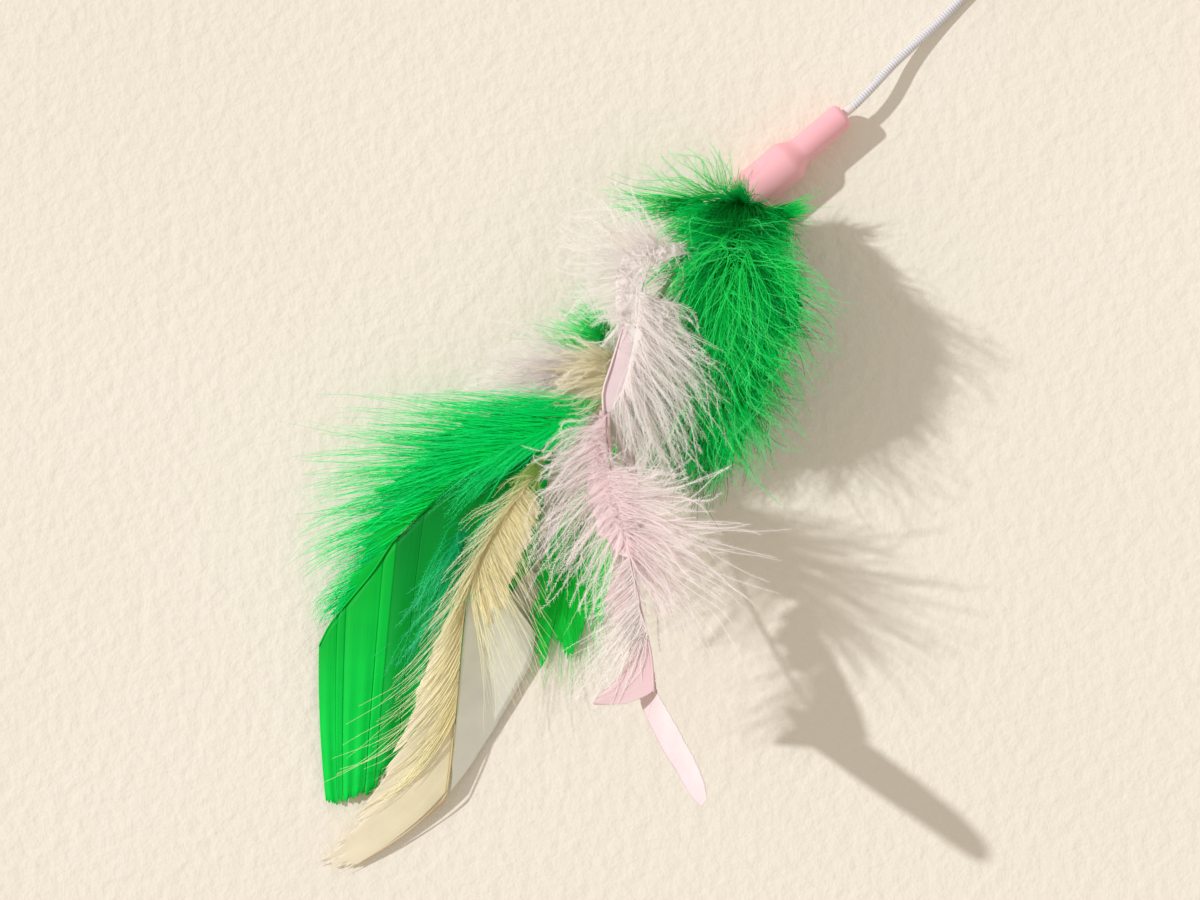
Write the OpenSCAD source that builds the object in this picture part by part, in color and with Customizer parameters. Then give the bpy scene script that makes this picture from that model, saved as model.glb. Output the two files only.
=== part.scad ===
// Cat teaser wand: a rod with a soft grip, an elastic cord and a feather lure in a soft sleeve.
// Millimetres. The rod lies along +Y and the hanging hole in its end cap is at the origin.

/* [Rod and grip] */
// Distance from the hanging hole to the mouth of the tip sleeve, where the cord goes in
wand_len = 382; // [330:1:440]
// Diameter of the solid rod
rod_d = 5; // [4:0.1:5.6]
// Outside diameter of the soft grip
grip_d = 9; // [8.6:0.1:10]
// Length of the soft grip
grip_len = 110; // [80:1:140]
// Length of the plain middle of the grip, between its two ribbed stretches
grip_plain_len = 60; // [40:1:66]
// Depth of the rings pressed into the grip
grip_ring_depth = 0.5; // [0.2:0.1:0.8]
// Thickness of the hanging tab
tab_t = 3; // [2:0.1:4]
// Diameter of the hanging hole
hang_hole_d = 4.5; // [3:0.1:5]
// Length of the round collar between the tab and the grip
cap_collar_len = 4; // [3:0.5:6]
// Length of the cap's plug inside the grip
cap_plug_len = 8; // [5:0.5:12]

/* [Cord] */
// Diameter of the round elastic cord
cord_d = 1.8; // [1.5:0.1:1.8]
// Distance between neighbouring turns in the coil, centre to centre
coil_pitch = 2.25; // [2.25:0.05:2.4]
// Radius of the coil's outermost turn
coil_r = 12.8; // [12.8:0.1:14]
// Thickness of the tie round the coil
tie_t = 0.4; // [0.3:0.05:0.5]
// Width of the tie round the coil
tie_w = 3; // [2:0.5:5]

/* [Sleeves] */
// Length of a sleeve, from its neck's end to its wide mouth
sleeve_len = 27; // [25:0.5:32]
// Outside diameter of the lure sleeve's wide part
sleeve_d = 9; // [8.6:0.1:10]
// Outside diameter of the tip sleeve's wide part
tip_sleeve_d = 8.6; // [7.6:0.1:8.6]
// Outside diameter of a sleeve's neck
neck_d = 5.8; // [5:0.1:7]
// Length of a sleeve's neck
neck_len = 11.5; // [10:0.5:13]
// Length of the shoulder between neck and wide part
shoulder_len = 4; // [2:0.5:6]
// Diameter of the lure sleeve's bore, which holds the quills
lure_bore_d = 7.2; // [7.2:0.1:7.6]
// Diameter of the stopper knot
knot_d = 4.2; // [3.2:0.1:4.6]
// Length of the stopper knot
knot_len = 3.6; // [3:0.1:4]

/* [Lure] */
// Where the lure is tied to the cord, to the left of the rod
tie_on_x = -93; // [-95:1:-92]
// Where the lure is tied to the cord, along the rod
tie_on_y = 362; // [361:1:363]
// Heading of the lure in the table's plane, from +X
lure_heading = 220; // [214:1:224]
// Height of the lure's axis above the table
lure_rise = 5; // [5:0.1:6]
// Diameter of a feather's quill
quill_d = 1.1; // [0.9:0.05:1.15]
// Thinnest diameter of a feather's shaft
shaft_d = 0.8; // [0.6:0.05:1]
// Length of each quill held in the glue
glued_len = 4; // [3:0.5:5]

/* [Green feathers] */
// Length of the full plume on the right
green_plume_len = 60; // [50:1:66]
// Width of the full plume on the right
green_plume_w = 34; // [24:1:36]
// Thickness of the full plume on the right
green_plume_t = 12; // [8:0.5:13]
// Length of the short plume to the left of the mouth
left_tuft_len = 26; // [20:1:30]
// Width of the short plume to the left of the mouth
left_tuft_w = 12; // [8:1:13]
// Length of the short plume to the right of the mouth
right_tuft_len = 20; // [18:1:24]
// Width of the short plume to the right of the mouth
right_tuft_w = 7; // [4:1:8]
// Length of the plume half hidden behind the pink feathers
side_plume_len = 50; // [44:1:54]
// Width of the plume half hidden behind the pink feathers
side_plume_w = 14; // [8:1:15]
// Length of the long goose feather
goose_len = 150; // [140:1:156]
// Width of the long goose feather
goose_w = 32; // [24:1:33]
// Length of the goose feather below the others
under_len = 110; // [100:1:114]
// Width of the goose feather below the others
under_w = 16; // [10:1:17]

/* [Pale feathers] */
// Length of the cream goose feather
cream_len = 170; // [160:1:176]
// Width of the cream goose feather
cream_w = 20; // [14:1:21]
// Length of the cream down
cream_down_len = 60; // [54:1:64]
// Width of the cream down
cream_down_w = 11; // [7:1:12]
// Length of the white down
white_down_len = 70; // [64:1:74]
// Width of the white down
white_down_w = 13; // [8:1:14]
// Length of the upper pink feather
pink_upper_len = 60; // [54:1:63]
// Width of the upper pink feather
pink_upper_w = 24; // [18:1:25]
// Length of the lower pink feather
pink_lower_len = 116; // [108:1:120]
// Width of the lower pink feather
pink_lower_w = 34; // [26:1:35]
// Length of the narrow pink feather
pink_strip_len = 145; // [138:1:150]
// Width of the narrow pink feather
pink_strip_w = 7; // [5:0.5:8]

/* [Feather thickness] */
// Thickness of a flat vane
vane_t = 1.8; // [1.2:0.1:2]
// Thickness of a small tuft of down
tuft_t = 2.6; // [1.6:0.1:2.8]
// Thickness of a pink feather's down
pink_down_t = 4; // [2.6:0.1:4.4]

/* [Hidden] */

green = [0.02, 0.74, 0.3];
deep_green = [0.0, 0.58, 0.24];
cream = [0.93, 0.84, 0.64];
pale_white = [0.93, 0.9, 0.85];
blush = [0.95, 0.8, 0.82];
soft_pink = [0.96, 0.6, 0.64];
cord_white = [0.93, 0.93, 0.95];
rod_white = [0.95, 0.95, 0.94];
glue_amber = [0.9, 0.85, 0.7];

$fn = 64;
// A cut runs this far past what it cuts
overrun = 1;
// Room between a soft piece and its neighbour
soft_gap = 0.3;
// Room round a cord or a plug in its hole, measured on the radius
slip = 0.05;

// The rod lies at the height of its grip, so the table is below the origin
rod_rise = max(grip_d, sleeve_d) / 2;
table_z = -rod_rise;
cord_r = cord_d / 2;

// Free cord between the tie-on point and the lure sleeve's neck
tie_on_gap = 2;
// The lure sleeve's hollow ends in a step that the stopper knot bears on
sleeve_step = tie_on_gap + neck_len;
mouth_x = tie_on_gap + sleeve_len;
sleeve_edge = 1.2;
mouth_edge = 0.35;

// The end cap, from its tab to its plug
tab_r = min(grip_d, sleeve_d) / 2 - 4 * slip;
collar_y = 5;
grip_y = collar_y + cap_collar_len;
rod_start_y = grip_y + cap_plug_len;
rod_end_y = wand_len - neck_len - shoulder_len - soft_gap;
ring_pitch = 4;
ring_r = 1;

// The coil is wound in layers that spiral in and out again
coil_layers = 4;
coil_turns = 8 + 313 / 360;
coil_start_angle = -43;
coil_centre = [-70, 404];
coil_lift = tie_t + 2 * slip + soft_gap / 2;
coil_low_z = table_z + coil_lift + cord_r;
coil_steps = 24;
coil_sides = 6;
cord_sides = 8;
layer_turns = coil_turns / coil_layers;
coil_inner_r = coil_r - layer_turns * coil_pitch;
// Share of a turn taken by each climb to the next layer
climb_share = 0.5;
tie_angle = 110;

// The cord from the lure to the coil: across, along and above the table
run_route = [
    [-92.1, 362.8, 5], [-89.5, 365.4, 4.7], [-86.8, 368.3, 4], [-84, 371.3, 3.1],
    [-81, 374.2, 2.3], [-78, 377, 1.7], [-75, 379.9, 1.3], [-72, 382.9, 1.1],
    [-69, 386.1, 1.1], [-66, 389.4, 1.2], [-63.2, 392.5, 1.4], [-60.64, 395.27, 1.55]
];
// The cord from the coil to the rod's tip sleeve: across, along and above the table
lead_route = [
    [-70, 391.2, 8.3], [-66, 391.2, 8], [-62, 391.3, 7.2], [-58, 391.5, 6.1],
    [-54, 391.8, 4.9], [-50, 392.2, 3.8], [-46, 392.7, 2.8], [-42, 393.3, 2],
    [-38, 394, 1.5], [-34, 394.8, 1.2], [-30, 395.6, 1], [-26, 396.4, 1],
    [-22, 397.2, 1], [-18, 397.9, 1], [-14, 398.2, 1], [-10, 397.9, 1.2],
    [-6.5, 396.5, 1.7], [-3.6, 394, 2.5], [-1.6, 391, 3.5], [-0.5, 388, 4.2],
    [0, 385, 4.5], [0, 382, 4.5]
];

// Quills stand in two rings inside the sleeve, with thread wound round them
quill_r = quill_d / 2;
shaft_r = shaft_d / 2;
binding_t = 0.4;
binding_gap = 0.1;
binding_len = 3;
glue_len = 6;
// A feather that flexes starts this far from its own quill, and runs straight past the mouth
flex_gap = 1.2;
straight_len = 1.6;
outer_ring_r = lure_bore_d / 2 - binding_t - binding_gap - quill_r;
inner_ring_r = 1.05;
quill_end_x = mouth_x - binding_len - soft_gap - glued_len;
glue_x = mouth_x - binding_len - soft_gap - glue_len;
feather_sides = 8;
span_steps = 3;

// Places in the bundle: angle from the lure's right, seen along the quills, and ring radius
function in_bundle(angle, r) = [r * cos(angle), r * sin(angle)];
green_plume_quill = in_bundle(45, outer_ring_r);
right_tuft_quill = in_bundle(0, outer_ring_r);
pink_lower_quill = in_bundle(90, outer_ring_r);
pink_upper_quill = in_bundle(135, outer_ring_r);
pink_strip_quill = in_bundle(135, inner_ring_r);
left_tuft_quill = in_bundle(180, outer_ring_r);
side_plume_quill = in_bundle(225, outer_ring_r);
cream_down_quill = in_bundle(45, inner_ring_r);
white_down_quill = in_bundle(225, inner_ring_r);
cream_quill = in_bundle(315, inner_ring_r);
goose_quill = in_bundle(270, outer_ring_r);
under_quill = in_bundle(315, outer_ring_r);

// Middle line of each feather as shares of its length, out of the mouth, to the right and up,
// then its reach to the right and to the left as shares of its width
green_plume_shares = [
    [0.07, 0.06, 0.08, 0.04, 0.04], [0.19, 0.15, 0.17, 0.26, 0.12],
    [0.30, 0.27, 0.20, 0.52, 0.26], [0.40, 0.42, 0.20, 0.50, 0.28],
    [0.50, 0.58, 0.17, 0.30, 0.24], [0.60, 0.74, 0.12, 0.08, 0.08]
];
right_tuft_shares = [
    [0.17, 0.28, -0.03, 0.10, 0.10], [0.10, 0.41, -0.01, 0.28, 0.28],
    [-0.06, 0.49, 0.00, 0.50, 0.40], [-0.24, 0.55, 0.02, 0.45, 0.40],
    [-0.42, 0.60, 0.04, 0.12, 0.12]
];
left_tuft_shares = [
    [0.13, -0.17, 0.15, 0.08, 0.08], [0.35, -0.30, 0.23, 0.20, 0.45],
    [0.57, -0.40, 0.26, 0.22, 0.50], [0.78, -0.50, 0.26, 0.10, 0.15]
];
side_plume_shares = [
    [0.27, 0.01, -0.02, 0.06, 0.06], [0.56, 0.02, -0.03, 0.10, 0.10],
    [0.81, 0.01, -0.02, 0.50, 0.45], [1.00, -0.03, -0.02, 0.15, 0.15]
];
goose_shares = [
    [0.14, 0.06, 0.00, 0.02, 0.02], [0.26, 0.09, 0.01, 0.04, 0.04],
    [0.35, 0.10, 0.02, 0.12, 0.12], [0.46, 0.08, 0.02, 0.30, 0.30],
    [0.58, 0.08, 0.01, 0.42, 0.42], [0.70, 0.13, 0.00, 0.50, 0.50],
    [0.80, 0.21, -0.01, 0.46, 0.48], [0.91, 0.32, -0.015, 0.25, 0.30]
];
under_shares = [
    [0.18, 0.11, -0.015, 0.05, 0.05], [0.35, 0.17, -0.02, 0.06, 0.06],
    [0.51, 0.23, -0.022, 0.20, 0.20], [0.66, 0.30, -0.025, 0.42, 0.42],
    [0.77, 0.39, -0.027, 0.50, 0.50], [0.85, 0.50, -0.027, 0.20, 0.20]
];
cream_shares = [
    [0.13, 0.06, 0.012, 0.03, 0.03], [0.24, 0.08, 0.027, 0.04, 0.04],
    [0.34, 0.09, 0.04, 0.08, 0.08], [0.43, 0.11, 0.04, 0.25, 0.25],
    [0.51, 0.155, 0.033, 0.45, 0.45], [0.59, 0.22, 0.022, 0.50, 0.50],
    [0.67, 0.28, 0.012, 0.50, 0.50], [0.76, 0.315, 0.003, 0.40, 0.40],
    [0.85, 0.315, -0.008, 0.26, 0.26], [0.92, 0.31, -0.014, 0.12, 0.12]
];
cream_down_shares = [
    [0.30, 0.09, 0.04, 0.07, 0.07], [0.60, 0.15, 0.07, 0.14, 0.14],
    [0.81, 0.12, 0.09, 0.40, 0.50], [0.92, 0.05, 0.10, 0.20, 0.20]
];
white_down_shares = [
    [0.25, 0.05, 0.01, 0.06, 0.06], [0.50, 0.08, 0.03, 0.08, 0.08],
    [0.72, 0.03, 0.04, 0.35, 0.35], [0.88, -0.05, 0.04, 0.50, 0.50],
    [0.98, -0.11, 0.03, 0.10, 0.10]
];
pink_upper_shares = [
    [0.11, -0.01, 0.13, 0.04, 0.04], [0.22, 0.00, 0.20, 0.07, 0.07],
    [0.37, -0.03, 0.25, 0.14, 0.15], [0.49, 0.00, 0.28, 0.24, 0.40],
    [0.62, 0.09, 0.28, 0.42, 0.20], [0.74, 0.19, 0.25, 0.38, 0.12],
    [0.82, 0.26, 0.23, 0.12, 0.08]
];
pink_lower_shares = [
    [0.07, 0.01, 0.05, 0.03, 0.03], [0.13, 0.02, 0.08, 0.03, 0.03],
    [0.26, 0.06, 0.09, 0.03, 0.03], [0.39, 0.13, 0.10, 0.05, 0.05],
    [0.455, 0.19, 0.13, 0.32, 0.22], [0.52, 0.28, 0.155, 0.46, 0.36],
    [0.57, 0.38, 0.18, 0.34, 0.38], [0.63, 0.49, 0.20, 0.08, 0.30],
    [0.69, 0.59, 0.20, 0.03, 0.32]
];
pink_strip_shares = [
    [0.03, -0.006, 0.019, 0.06, 0.06], [0.05, -0.002, 0.029, 0.06, 0.06],
    [0.11, 0.022, 0.042, 0.06, 0.06],
    [0.20, 0.065, 0.05, 0.06, 0.06], [0.28, 0.115, 0.055, 0.06, 0.06],
    [0.35, 0.18, 0.06, 0.06, 0.06], [0.44, 0.28, 0.09, 0.08, 0.08],
    [0.51, 0.37, 0.105, 0.14, 0.14], [0.56, 0.46, 0.13, 0.35, 0.35],
    [0.59, 0.54, 0.18, 0.50, 0.50], [0.605, 0.64, 0.26, 0.22, 0.22]
];

// Distance between two rows of a table, in space
function apart(a, b) = norm([b.x - a.x, b.y - a.y, b.z - a.z]);

// Steady slope of a table at row i, so that a curve through its rows doesn't overshoot
function slope(rows, i) =
    i == 0 ? (rows[1] - rows[0]) / apart(rows[0], rows[1])
    : i == len(rows) - 1 ? (rows[i] - rows[i - 1]) / apart(rows[i - 1], rows[i])
    : let (a = apart(rows[i - 1], rows[i]), b = apart(rows[i], rows[i + 1]))
      (b * (rows[i] - rows[i - 1]) / a + a * (rows[i + 1] - rows[i]) / b) / (a + b);

// A point at share t of the way from row i to the next
function between(rows, i, t) =
    let (d = apart(rows[i], rows[i + 1]))
    (2 * t ^ 3 - 3 * t ^ 2 + 1) * rows[i] + (t ^ 3 - 2 * t ^ 2 + t) * d * slope(rows, i)
    + (3 * t ^ 2 - 2 * t ^ 3) * rows[i + 1] + (t ^ 3 - t ^ 2) * d * slope(rows, i + 1);

// A smooth run of rows through the rows of a table
function smoothed(rows, steps) = [
    for (i = [0 : len(rows) - 2], k = [0 : steps - 1]) between(rows, i, k / steps),
    rows[len(rows) - 1]
];

function unit(v) = v / norm(v);
function place(row) = [row.x, row.y, row.z];
function heading(rows, i) =
    unit(place(rows[min(i + 1, len(rows) - 1)]) - place(rows[max(i - 1, 0)]));

// A closed skin over rings that all have the same number of points
module skin(rings) {
    count = len(rings);
    sides = len(rings[0]);
    points = [for (ring = rings) each ring];
    walls = [
        for (i = [0 : count - 2], k = [0 : sides - 1])
        let (a = i * sides + k, b = i * sides + (k + 1) % sides)
        each [[a, b, a + sides], [b, b + sides, a + sides]]
    ];
    first = [for (k = [1 : sides - 2]) [0, k + 1, k]];
    last = [for (k = [1 : sides - 2]) (count - 1) * sides * [1, 1, 1] + [0, k, k + 1]];
    polyhedron(points, concat(walls, first, last), convexity = 10);
}

// A round tube of the cord's diameter along a route
module cord_tube(route, sides) {
    skin([
        for (i = [0 : len(route) - 1])
        let (t = heading(route, i), s = unit(cross([0, 0, 1], t)), n = cross(t, s))
        [for (k = [0 : sides - 1])
            let (a = -(k + 0.5) * 360 / sides)
            place(route[i]) + cord_r * (cos(a) * s + sin(a) * n)]
    ]);
}

function above_table(route) = [for (p = route) [p.x, p.y, table_z + p.z]];

// Puts what is drawn from the tie-on point outwards in the lure's place
module at_lure() {
    translate([tie_on_x, tie_on_y, table_z + lure_rise]) rotate([0, 0, lure_heading]) children();
}

// Turns a shape drawn along +Z so that it runs along +X
module along_x() {
    rotate([90, 0, 90]) children();
}

// Cross-section of a feather: thick at its shaft and thin at both edges
thin_share = 0.6;
shoulder_share = 0.7;
function feather_ring(rows, i, thick) =
    let (
        p = place(rows[i]), t = heading(rows, i),
        s = unit(cross([0, 0, 1], t)), n = cross(t, s),
        right = rows[i][3], left = rows[i][4],
        h = max(shaft_r, thick / 2 * rows[i][5]), m = thin_share * h, e = shoulder_share
    )
    [
        p + right * s, p + e * right * s - m * n, p - h * n, p - e * left * s - m * n,
        p - left * s, p - e * left * s + m * n, p + h * n, p + e * right * s + m * n
    ];

// Rows of a feather from its place in the bundle, its size and its table of shares
function feather_rows(start_x, quill, length, width, shares) =
    let (top = max([for (s = shares) s[3] + s[4]]), root = [quill_r, quill_r, 0])
    concat(
        [for (x = [start_x, mouth_x + straight_len]) concat([x, quill.x, quill.y], root)],
        [for (s = shares) [
            mouth_x + s[0] * length, s[1] * length, s[2] * length,
            max(shaft_r, s[3] * width), max(shaft_r, s[4] * width), (s[3] + s[4]) / top
        ]]
    );

module feather(start_x, quill, length, width, thick, shares) {
    rows = smoothed(feather_rows(start_x, quill, length, width, shares), span_steps);
    at_lure() skin([for (i = [0 : len(rows) - 1]) feather_ring(rows, i, thick)]);
}

// A feather that stands in the glue, and one that flexes outside the mouth on its own quill
module held_feather(quill, length, width, thick, shares) {
    feather(quill_end_x, quill, length, width, thick, shares);
}

module free_feather(quill, length, width, thick, shares) {
    feather(mouth_x + flex_gap / 2, quill, length, width, thick, shares);
}

// The quills of feathers that flex outside the mouth
module quill_group(quills) {
    at_lure() for (q = quills)
        translate([quill_end_x, q.x, q.y]) along_x()
            cylinder(h = mouth_x - flex_gap / 2 - quill_end_x, r = quill_r);
}

// A soft sleeve along +Z, with its neck's end at zero and its wide mouth at sleeve_len
module sleeve(bore_d, wide_d) {
    neck_r = neck_d / 2;
    wide_r = wide_d / 2;
    bore_z = neck_len + shoulder_len;
    blend_steps = 8;
    shoulder = [
        for (i = [0 : blend_steps])
        let (t = i / blend_steps)
        [neck_r + (wide_r - neck_r) * (3 * t ^ 2 - 2 * t ^ 3), neck_len + t * shoulder_len]
    ];
    nose = [
        for (a = [0 : 15 : 90])
        [neck_r - sleeve_edge * (1 - sin(a)), sleeve_edge * (1 - cos(a))]
    ];
    rim = [
        for (a = [0 : 30 : 90])
        [wide_r - mouth_edge * (1 - cos(a)), sleeve_len - mouth_edge * (1 - sin(a))]
    ];
    difference() {
        rotate_extrude() polygon(concat([[0, 0]], nose, shoulder, rim, [[0, sleeve_len]]));
        translate([0, 0, -overrun]) cylinder(h = sleeve_len, r = cord_r + slip);
        translate([0, 0, neck_len]) cylinder(h = sleeve_len, r = knot_d / 2 + slip);
        translate([0, 0, bore_z]) cylinder(h = sleeve_len, r = bore_d / 2);
    }
}

// A stopper knot: the cord's turns round its own end, along +Z
module knot() {
    turn_r = knot_len / 4;
    difference() {
        rotate_extrude() {
            for (i = [0, 1])
                translate([knot_d / 2 - turn_r, turn_r * (1 + 2 * i)]) circle(r = turn_r);
            square([knot_d / 2 - turn_r, knot_len]);
        }
        translate([0, 0, -overrun]) cylinder(h = knot_len + 2 * overrun, r = cord_r + slip);
    }
}

// Turns what is drawn along +Z so that it starts at the cord's side of the tip sleeve
module at_tip() {
    translate([0, wand_len, 0]) rotate([90, 0, 0]) children();
}

module rod() {
    color(rod_white) translate([0, rod_start_y, 0]) rotate([-90, 0, 0])
        cylinder(h = rod_end_y - rod_start_y, r = rod_d / 2);
}

module grip() {
    ribbed_len = (grip_len - grip_plain_len) / 2;
    rings = floor((ribbed_len - ring_pitch) / ring_pitch);
    color(soft_pink) translate([0, grip_y, 0]) rotate([-90, 0, 0]) difference() {
        cylinder(h = grip_len, r = grip_d / 2);
        translate([0, 0, -overrun]) cylinder(h = grip_len + 2 * overrun, r = rod_d / 2);
        for (i = [0 : rings - 1], end = [0, 1])
            let (z = (i + 1) * ring_pitch)
            translate([0, 0, end == 0 ? z : grip_len - z])
                rotate_extrude() translate([grip_d / 2 + ring_r - grip_ring_depth, 0])
                    circle(r = ring_r);
    }
}

module end_cap() {
    plug_r = rod_d / 2 - slip;
    color(soft_pink) difference() {
        union() {
            translate([0, 0, -tab_t / 2]) cylinder(h = tab_t, r = tab_r);
            translate([-tab_r, 0, -tab_t / 2]) cube([2 * tab_r, collar_y + overrun, tab_t]);
            translate([0, collar_y, 0]) rotate([-90, 0, 0])
                cylinder(h = cap_collar_len, r = tab_r);
            translate([0, grip_y - overrun, 0]) rotate([-90, 0, 0])
                cylinder(h = cap_plug_len + overrun, r = plug_r);
        }
        translate([0, 0, -tab_t]) cylinder(h = 2 * tab_t, r = hang_hole_d / 2);
    }
}

module tip_sleeve() {
    color(soft_pink) at_tip() sleeve(rod_d, tip_sleeve_d);
}

module tip_cord_tail() {
    color(cord_white) at_tip() cylinder(h = neck_len + knot_len + soft_gap, r = cord_r);
}

module tip_knot() {
    color(cord_white) at_tip() translate([0, 0, neck_len + slip]) knot();
}

module cord_lead() {
    color(cord_white) cord_tube(above_table(lead_route), cord_sides);
}

module cord_run() {
    color(cord_white) cord_tube(above_table(run_route), cord_sides);
}

// Where the coiled cord lies after a number of turns
function coil_point(turns) =
    let (
        layer = min(floor(turns / layer_turns), coil_layers - 1),
        inwards = layer % 2 == 0,
        here = (turns - layer * layer_turns) * coil_pitch,
        r = inwards ? coil_r - here : coil_inner_r + here,
        climb = [
            for (k = [1 : coil_layers - 1])
            min(1, max(0, (turns - k * layer_turns) / climb_share + 1 / 2))
        ],
        angle = coil_start_angle + turns * 360
    )
    [
        coil_centre.x + r * cos(angle), coil_centre.y + r * sin(angle),
        coil_low_z + coil_pitch * (climb[0] + climb[1] + climb[2])
    ];
coil_route = [for (i = [0 : round(coil_turns * coil_steps)])
    coil_point(min(i / coil_steps, coil_turns))];
// Least distance between the skins of two turns, on points at least half a turn apart
coil_least_gap = min([
    for (i = [0 : len(coil_route) - 1], k = [i + coil_steps / 2 : len(coil_route) - 1])
    norm(coil_route[k] - coil_route[i])
]) - cord_d;
coil_length = coil_turns * 360 * PI / 180 * (coil_r + coil_inner_r) / 2;

module cord_coil() {
    echo(coil_least_gap = coil_least_gap, coil_length = coil_length);
    color(cord_white) cord_tube(coil_route, coil_sides);
}

module coil_tie() {
    inside_w = coil_r - coil_inner_r + cord_d + 2 * soft_gap;
    inside_h = (coil_layers - 1) * coil_pitch + cord_d + soft_gap;
    middle_r = (coil_r + coil_inner_r) / 2;
    middle_z = coil_low_z + (coil_layers - 1) * coil_pitch / 2;
    color(soft_pink) translate([coil_centre.x, coil_centre.y, middle_z])
        rotate([0, 0, tie_angle]) translate([middle_r, tie_w / 2, 0]) rotate([90, 0, 0])
            linear_extrude(height = tie_w) difference() {
                square([inside_w + 2 * tie_t, inside_h + 2 * tie_t], center = true);
                square([inside_w, inside_h], center = true);
            }
}

module lure_cord_end() {
    color(cord_white) at_lure() {
        sphere(r = cord_r);
        along_x() cylinder(h = sleeve_step + knot_len + soft_gap, r = cord_r);
    }
}

module lure_knot() {
    color(cord_white) at_lure() translate([sleeve_step + slip, 0, 0]) along_x() knot();
}

module lure_sleeve() {
    color(soft_pink) at_lure() translate([tie_on_gap, 0, 0]) along_x() sleeve(lure_bore_d, sleeve_d);
}

module glue_plug() {
    color(glue_amber) at_lure() translate([glue_x, 0, 0]) along_x()
        cylinder(h = glue_len, r = lure_bore_d / 2);
}

module thread_binding() {
    turn_r = binding_t / 2;
    turns = floor(binding_len / binding_t);
    color(cord_white) at_lure() translate([mouth_x - soft_gap - turns * binding_t, 0, 0])
        along_x() rotate_extrude() {
            for (i = [0 : turns - 1])
                translate([lure_bore_d / 2 - binding_gap / 2 - turn_r, turn_r * (1 + 2 * i)])
                    circle(r = turn_r, $fn = 16);
            translate([lure_bore_d / 2 - binding_gap / 2 - turn_r - turn_r / 2, turn_r])
                square([turn_r, (turns - 1) * binding_t]);
        }
}

module upper_quills() {
    color(blush) quill_group([pink_lower_quill, pink_upper_quill, pink_strip_quill]);
}

module right_quills() {
    color(deep_green) quill_group([green_plume_quill, right_tuft_quill]);
}

module left_quills() {
    color(cream) quill_group([
        left_tuft_quill, side_plume_quill, cream_down_quill, white_down_quill
    ]);
}

module green_plume() {
    color(green) free_feather(
        green_plume_quill, green_plume_len, green_plume_w, green_plume_t, green_plume_shares
    );
}

module right_tuft() {
    color(green) free_feather(
        right_tuft_quill, right_tuft_len, right_tuft_w, tuft_t, right_tuft_shares
    );
}

module left_tuft() {
    color(green) free_feather(
        left_tuft_quill, left_tuft_len, left_tuft_w, tuft_t, left_tuft_shares
    );
}

module side_plume() {
    color(green) free_feather(
        side_plume_quill, side_plume_len, side_plume_w, tuft_t, side_plume_shares
    );
}

module green_goose_feather() {
    color(green) held_feather(goose_quill, goose_len, goose_w, vane_t, goose_shares);
}

module green_under_feather() {
    color(deep_green) held_feather(under_quill, under_len, under_w, vane_t, under_shares);
}

module cream_goose_feather() {
    color(cream) held_feather(cream_quill, cream_len, cream_w, vane_t, cream_shares);
}

module cream_down() {
    color(cream) free_feather(
        cream_down_quill, cream_down_len, cream_down_w, tuft_t, cream_down_shares
    );
}

module white_down() {
    color(pale_white) free_feather(
        white_down_quill, white_down_len, white_down_w, tuft_t, white_down_shares
    );
}

module pink_upper_feather() {
    color(blush) free_feather(
        pink_upper_quill, pink_upper_len, pink_upper_w, pink_down_t, pink_upper_shares
    );
}

module pink_lower_feather() {
    color(blush) free_feather(
        pink_lower_quill, pink_lower_len, pink_lower_w, pink_down_t, pink_lower_shares
    );
}

module pink_strip_feather() {
    color(blush) free_feather(
        pink_strip_quill, pink_strip_len, pink_strip_w, vane_t, pink_strip_shares
    );
}

rod();
grip();
end_cap();
tip_sleeve();
tip_cord_tail();
tip_knot();
cord_lead();
cord_coil();
cord_run();
coil_tie();
lure_cord_end();
lure_knot();
lure_sleeve();
glue_plug();
thread_binding();
upper_quills();
right_quills();
left_quills();
green_plume();
right_tuft();
left_tuft();
side_plume();
green_goose_feather();
green_under_feather();
cream_goose_feather();
cream_down();
white_down();
pink_upper_feather();
pink_lower_feather();
pink_strip_feather();
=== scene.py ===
# %% [markdown]
# # Cat teaser wand
# A cat teaser wand is a light rod with an elastic cord, and a lure of feathers on the cord's end.
# The rod, the grip and the sleeves are hard shapes with real sizes, so they come from the CAD
# frame, and this script dresses them. The feathers and the cord get their looks here.

# %% Load the frame
import math

import bpy
import numpy as np
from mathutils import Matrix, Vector


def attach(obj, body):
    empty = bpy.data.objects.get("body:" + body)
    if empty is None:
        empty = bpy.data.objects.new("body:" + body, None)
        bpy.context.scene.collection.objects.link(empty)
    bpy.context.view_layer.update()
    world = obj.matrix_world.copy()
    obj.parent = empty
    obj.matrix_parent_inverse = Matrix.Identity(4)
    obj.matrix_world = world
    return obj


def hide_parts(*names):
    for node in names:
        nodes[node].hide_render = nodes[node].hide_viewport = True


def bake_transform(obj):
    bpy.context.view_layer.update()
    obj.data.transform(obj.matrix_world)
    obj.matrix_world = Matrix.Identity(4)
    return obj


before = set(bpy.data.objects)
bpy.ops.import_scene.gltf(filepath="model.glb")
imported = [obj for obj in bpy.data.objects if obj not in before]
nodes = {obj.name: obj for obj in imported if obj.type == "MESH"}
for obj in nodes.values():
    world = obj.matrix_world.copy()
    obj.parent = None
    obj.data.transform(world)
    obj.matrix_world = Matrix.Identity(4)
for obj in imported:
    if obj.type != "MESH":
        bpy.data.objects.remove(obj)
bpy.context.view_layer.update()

bpy.ops.object.select_all(action="DESELECT")
print("CAD nodes:", len(nodes))

# %% [markdown]
# ## Camera
# The real photograph looks straight down on the lure from a good distance. A long lens that far
# above the table keeps the feathers from swelling towards the picture's edges, as they would
# through a wide lens close by. The same numbers give a helper that says which place on the object
# a place in the picture shows, at a known height above the table.

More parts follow.
